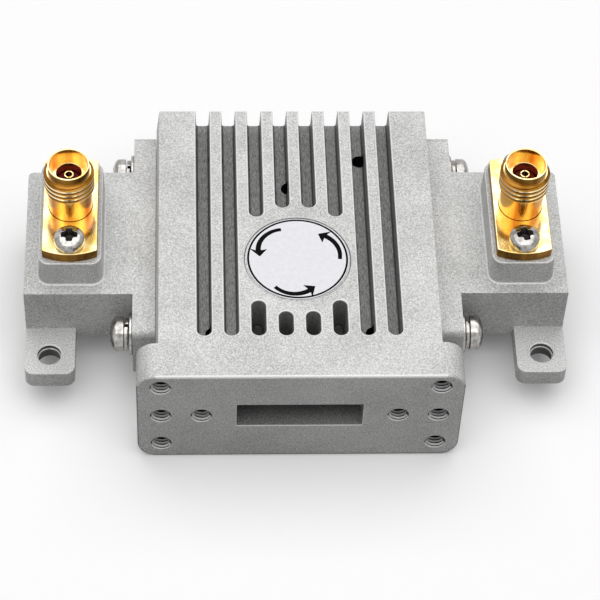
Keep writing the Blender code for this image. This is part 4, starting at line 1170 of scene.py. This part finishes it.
def makeArmFasteners(name, side):
    inner, outer, thick = flatWasher.values()
    flat = [(inner, 0, 0.06), (outer, 0, 0.08), (outer, thick, 0.12), (inner, thick, 0.06)]
    for row in rows:
        node = f"{name}_flat_washer_{row}"
        near, far, place = besideHousing(node, side)
        washer = newObject(f"{name}FlatWasher{row.title()}", lathe(flat, 64, place), steel)
        dress(washer, "stainless_steel", node)

        node = f"{name}_spring_washer_{row}"
        near, far, place = besideHousing(node, side)
        washer = newObject(f"{name}SpringWasher{row.title()}", splitRing(place), steel)
        softenEdges(washer, 0.06 * mm, 2, 40)
        dress(washer, "stainless_steel", node)

        node = f"{name}_arm_screw_{row}"
        near, far, place = besideHousing(node, side)
        length = round((far - near) / mm - panScrews["arm"][1], 2)
        place = place @ Matrix.Translation((0, 0, far - near - panScrews["arm"][1] * mm))
        makePanScrew(f"{name}ArmScrew{row.title()}", node, "arm", place @ Matrix.Rotation(0.35, 4, "Z"), length)


def splitRing(place):
    # a spring washer: nearly a full turn of square wire that rises a little
    inner, outer, thick, rise, turn, steps = springWasher.values()
    bm = bmesh.new()
    section = ((inner, 0), (outer, 0), (outer, thick), (inner, thick))
    bm.faces.new([bm.verts.new((radius * mm, 0, height * mm)) for radius, height in section])
    bmesh.ops.spin(bm, geom=bm.verts[:] + bm.edges[:] + bm.faces[:], cent=(0, 0, 0), axis=(0, 0, 1),
                   angle=radians(turn), steps=steps, dvec=(0, 0, rise * mm / steps), use_merge=False)
    bmesh.ops.remove_doubles(bm, verts=bm.verts, dist=0.0001 * mm)
    return outward(bm, place)


def makeCoverScrews():
    radius, height = coverScrew["head"]
    core = coverScrew["core"]
    crest, root, pitch = coverScrew["thread"]
    flat, deep, point = coverScrew["key"]
    for node in coverScrews:
        low, high, middle = boxOf(node)
        # local Z points down out of the cover
        place = upright(middle.x, middle.y, low.z) @ Matrix.Rotation(pi, 4, "X")
        length = (high.z - low.z) / mm
        profile = [(0, -height - 0.2), (core, -height - 0.2), (core, -height)]
        profile += [(radius, -height, 0.06), (radius, 0, 0.15), (0, 0)]
        name = "coverScrew" + node.replace("cover_screw_", "").title().replace("_", "")
        piece = newObject(name, lathe(profile, 64), steel)
        carve(piece, screwThread(crest * mm, root * mm, pitch * mm, -length * mm, -1.0 * mm, 24), "UNION")
        corner = flat / cos(pi / 6)
        carve(piece, lathe([(0, -point), (corner, -deep), (corner, 0.5), (0, 0.5)], 6))
        softenEdges(piece, 0.05 * mm, 2, 40, lambda edge: all(v.co.z > -0.05 * mm for v in edge.verts))
        piece.data.transform(place)
        dress(piece, "stainless_steel", node)


# junction, label and cover

label = {
    "ring": (6.3, 0.26),  # radius and width of the black ring, drawn in ink as painted shadow of the gap round the label
    "film": 0.012,  # mm, thickness of the print
    "arrows": (
        # middle of the arc, its radius, and where the tail and the tip lie, in degrees
        (-1.64, 1.43, 3.35, 96, 199),
        (1.86, 0.57, 3.57, -11, 76),
        (-0.47, -2.40, 3.31, 221, 321),
    ),
    "shaft": (0.25, 0.34),  # half width at the tail and at the head
    "head": (1.12, 1.05),  # half width and length
    "sweep": 0.22,  # the barbs lie this far behind the head's root
}


def arrowShape(x, y, radius, start, end):
    # outline of one curved arrow: up its outer side, round the head, back down the inner side
    tail, tip = radians(start), radians(end)
    root = tip - label["head"][1] / radius
    steps = 20

    def spot(angle, off):
        return (x + (radius + off) * cos(angle), y + (radius + off) * sin(angle))

    outer, inner = [], []
    for i in range(steps + 1):
        share = i / steps
        half = label["shaft"][0] + (label["shaft"][1] - label["shaft"][0]) * share
        angle = tail + (root - tail) * share
        outer.append(spot(angle, half))
        inner.append(spot(angle, -half))
    barb = root - label["sweep"] / radius
    half = label["head"][0]
    return outer + [spot(barb, half), spot(tip, 0), spot(barb, -half)] + inner[::-1]


def makeLabel():
    radius, base, top, place = roundNode("circulation_label")
    thick = label["film"]
    foil = lathe([(0, base), (radius, base), (radius, top - thick, 0.03), (0, top - thick)], 128, place)
    # painted shadow: a black ring near the label's edge, for the gap between label and cap
    ring, width = label["ring"]
    inner, outer, low = ring - width / 2, ring + width / 2, top - 2 * thick
    inks = [lathe([(inner, low), (outer, low), (outer, top), (inner, top)], 128, place)]
    for arrow in label["arrows"]:
        bm = prism([(x * mm, y * mm, low * mm) for x, y in arrowShape(*arrow)], (0, 0, 2 * thick * mm))
        bmesh.ops.transform(bm, matrix=place, verts=bm.verts)
        inks.append(bm)
    for bm in inks:
        for face in bm.faces:
            face.material_index = 1
    piece = newObject("circulationLabel", together([foil] + inks), film)
    piece.data.materials.append(ink)
    return dress(piece, "label_foil", "circulation_label")


magnetCap = {"plug": 5.9, "rim": 6.75, "rimHeight": 1.1}
discs = {
    # slot, material, rounding of the edges
    "upper_pole_piece": ("soft_iron", annealedIron, 0.1),
    "lower_pole_piece": ("soft_iron", annealedIron, 0.1),
    "upper_magnet": ("sintered_magnet", platedMagnet, 0.25),
    "lower_magnet": ("sintered_magnet", platedMagnet, 0.25),
    "upper_ferrite": ("ferrite_ceramic", ferriteCeramic, 0.06),
    "lower_ferrite": ("ferrite_ceramic", ferriteCeramic, 0.06),
    "ferrite_spacer": ("white_fluoroplastic", ptfe, 0.08),
}


def makeJunction():
    plug, rim, high = magnetCap.values()
    for name in ("upper", "lower"):
        _, base, top, _ = roundNode(name + "_magnet_cap")
        if name == "upper":
            steps = [(plug, base, 0.1), (plug, top - high), (rim, top - high, 0.08), (rim, top, 0.1)]
        else:
            steps = [(rim, base, 0.15), (rim, base + high, 0.08), (plug, base + high), (plug, top, 0.1)]
        profile = [(0, base), *steps, (0, top)]
        cap = newObject(name + "MagnetCap", lathe(profile, 96, upright(0, junctionY)), aluminium)
        dress(cap, "blasted_aluminium", name + "_magnet_cap")
    for node, (slot, material, edge) in discs.items():
        radius, base, top, place = roundNode(node)
        disc = lathe([(0, base), (radius, base, edge), (radius, top, edge), (0, top)], 96, place)
        first, *rest = node.split("_")
        dress(newObject(first + "".join(word.title() for word in rest), disc, material), slot, node)


cover = {
    "thick": 2.5,
    "corner": 1.92,
    "edge": 0.15,
    "fit": 0.08,  # round the block in the waveguide
    "capSeat": 1.15,
    "headHole": (2.03, 1.93, 1.3),  # rim, radius and depth of the hole for a screw's head
    "shankHole": 1.03,
}


def makeBottomCover():
    low, high, middle = boxOf("bottom_cover")
    half = ((high.x - low.x) / 2, (high.y - low.y) / 2)
    edge, base = cover["edge"] * mm, low.z
    plate = block(half, cover["corner"] * mm, base, base + cover["thick"] * mm, edge, edge,
                  upright(middle.x, middle.y), 48)
    piece = newObject("bottomCover", plate, aluminium)
    floor = guideZ - waveguide["height"] / 2 * mm
    carve(piece, junctionBlock(cover["fit"] * mm, base + 1 * mm, floor), "UNION")
    carve(piece, roundDisc(waveguide["stepRadius"] * mm, floor - 0.5 * mm, floor + waveguide["stepHeight"] * mm, 64,
                           upright(0, junctionY)), "UNION")
    pocket, cap = waveguide["pocketRadius"], waveguide["capRadius"]
    foot, web = base / mm, floor / mm - waveguide["pocketWeb"]
    seat = foot + cover["capSeat"]
    profile = [(0, foot - 1), (cap + 0.1, foot - 1), (cap + 0.1, foot), (cap, foot + 0.1), (cap, seat)]
    profile += [(pocket, seat), (pocket, web), (0, web)]
    carve(piece, lathe(profile, 96, upright(0, junctionY)))
    rim, head, deep = cover["headHole"]
    shank, floor = cover["shankHole"], foot + deep
    profile = [(0, foot - 1), (rim, foot - 1), (rim, foot), (head, foot + 0.1), (head, floor), (shank, floor)]
    profile += [(shank, 4), (0, 4)]
    carve(piece, together([lathe(profile, 48, upright(*boxOf(node)[2].xy)) for node in coverScrews]))
    return dress(piece, "blasted_aluminium", "bottom_cover")


for armName, armSide in sides.items():
    makeArm(armName, armSide)
    print(armName, "arm made")
    makeSocket(armName, armSide)
    makeInsulator(armName)
    makeContact(armName)
    for rowName in rows:
        headLow, headHigh, headMiddle = boxOf(f"{armName}_coax_screw_{rowName}")
        seat = upright(headMiddle.x, headMiddle.y, headHigh.z - panScrews["coax"][1] * mm)
        turn = Matrix.Rotation(0.22 if armSide > 0 else 0.0, 4, "Z")
        makePanScrew(f"{armName}CoaxScrew{rowName.title()}", f"{armName}_coax_screw_{rowName}", "coax", seat @ turn)
    makeArmFasteners(armName, armSide)
    print(armName, "socket and fasteners made")
makeLabel()
makeJunction()
makeBottomCover()
makeCoverScrews()
print("junction, label and cover made")


# floor, lamps and camera

studio = {
    # places and sizes in metres, powers in watts
    "floor": 2.0,
    "floorLift": 0.08,  # glow that the camera sees on the board
    "key": 0.9,
    "keyPlace": (0.0, 0.03, 0.55),
    "keyPower": 4.0,
    "fill": 0.5,
    "fillPlace": (-0.35, -0.45, 0.35),
    "fillPower": 0.1,
    "world": 0.22,
}
view = {
    "place": (-14.397, -209.727, 273.101),
    "target": (0.60, -3.15, 8.0),
    "roll": 3.09,  # degrees
    "lens": 155.38,
}


def makeFloor():
    # matt white board: bright to the camera, and greyer in what it throws back at the part
    made, tree, coords = newMaterial("studioFloor")
    bright = addNode(tree, "BsdfDiffuse", {"Color": hexColour("#fafafa")})
    lift = addNode(tree, "Emission", {"Color": hexColour("#ffffff"), "Strength": studio["floorLift"]})
    shown = addNode(tree, "AddShader", links={0: bright.outputs[0], 1: lift.outputs[0]})
    grey = addNode(tree, "BsdfDiffuse", {"Color": hexColour("#505050")})
    both = addNode(tree, "MixShader", links={0: seenDirectly(tree), 1: grey.outputs[0], 2: shown.outputs[0]})
    addNode(tree, "OutputMaterial", links={"Surface": both.outputs[0]})
    bm = bmesh.new()
    bmesh.ops.create_grid(bm, x_segments=1, y_segments=1, size=studio["floor"] / 2)
    floor = newObject("floor", bm, made)


def addLamp(name, place, target, size, power):
    lamp = bpy.data.lights.new(name, "AREA")
    lamp.shape = "SQUARE"
    lamp.size = size
    lamp.energy = power
    holder = bpy.data.objects.new(name, lamp)
    direction = Vector(target) - Vector(place)
    holder.matrix_world = Matrix.Translation(place) @ direction.to_track_quat("-Z", "Y").to_matrix().to_4x4()
    bpy.context.scene.collection.objects.link(holder)


def makeWorld():
    # a dim even light for the part, and plain white to the camera and in what metal mirrors
    world = bpy.data.worlds.new("studio")
    bpy.context.scene.world = world
    world.use_nodes = True
    tree = world.node_tree
    tree.nodes.clear()
    light = addNode(tree, "Background", {"Color": hexColour("#ffffff"), "Strength": studio["world"]})
    plain = addNode(tree, "Background", {"Color": hexColour("#ffffff"), "Strength": 1.0})
    both = addNode(tree, "MixShader", links={0: seenDirectly(tree), 1: light.outputs[0], 2: plain.outputs[0]})
    addNode(tree, "OutputWorld", links={"Surface": both.outputs[0]})


def addCamera():
    camera = bpy.data.cameras.new("camera")
    camera.lens = view["lens"]
    camera.sensor_width = 36
    camera.clip_start = 0.01
    holder = bpy.data.objects.new("camera", camera)
    place = Vector(view["place"]) * mm
    look = (Vector(view["target"]) * mm - place).to_track_quat("-Z", "Y").to_matrix().to_4x4()
    holder.matrix_world = Matrix.Translation(place) @ look @ Matrix.Rotation(radians(view["roll"]), 4, "Z")
    bpy.context.scene.collection.objects.link(holder)
    bpy.context.scene.camera = holder


makeFloor()
makeWorld()
addLamp("key", studio["keyPlace"], (0, 0, 0), studio["key"], studio["keyPower"])
addLamp("fill", studio["fillPlace"], (0, 0, 0), studio["fill"], studio["fillPower"])
addCamera()
bpy.context.scene.view_settings.view_transform = "Standard"
print("floor, lamps and camera set")
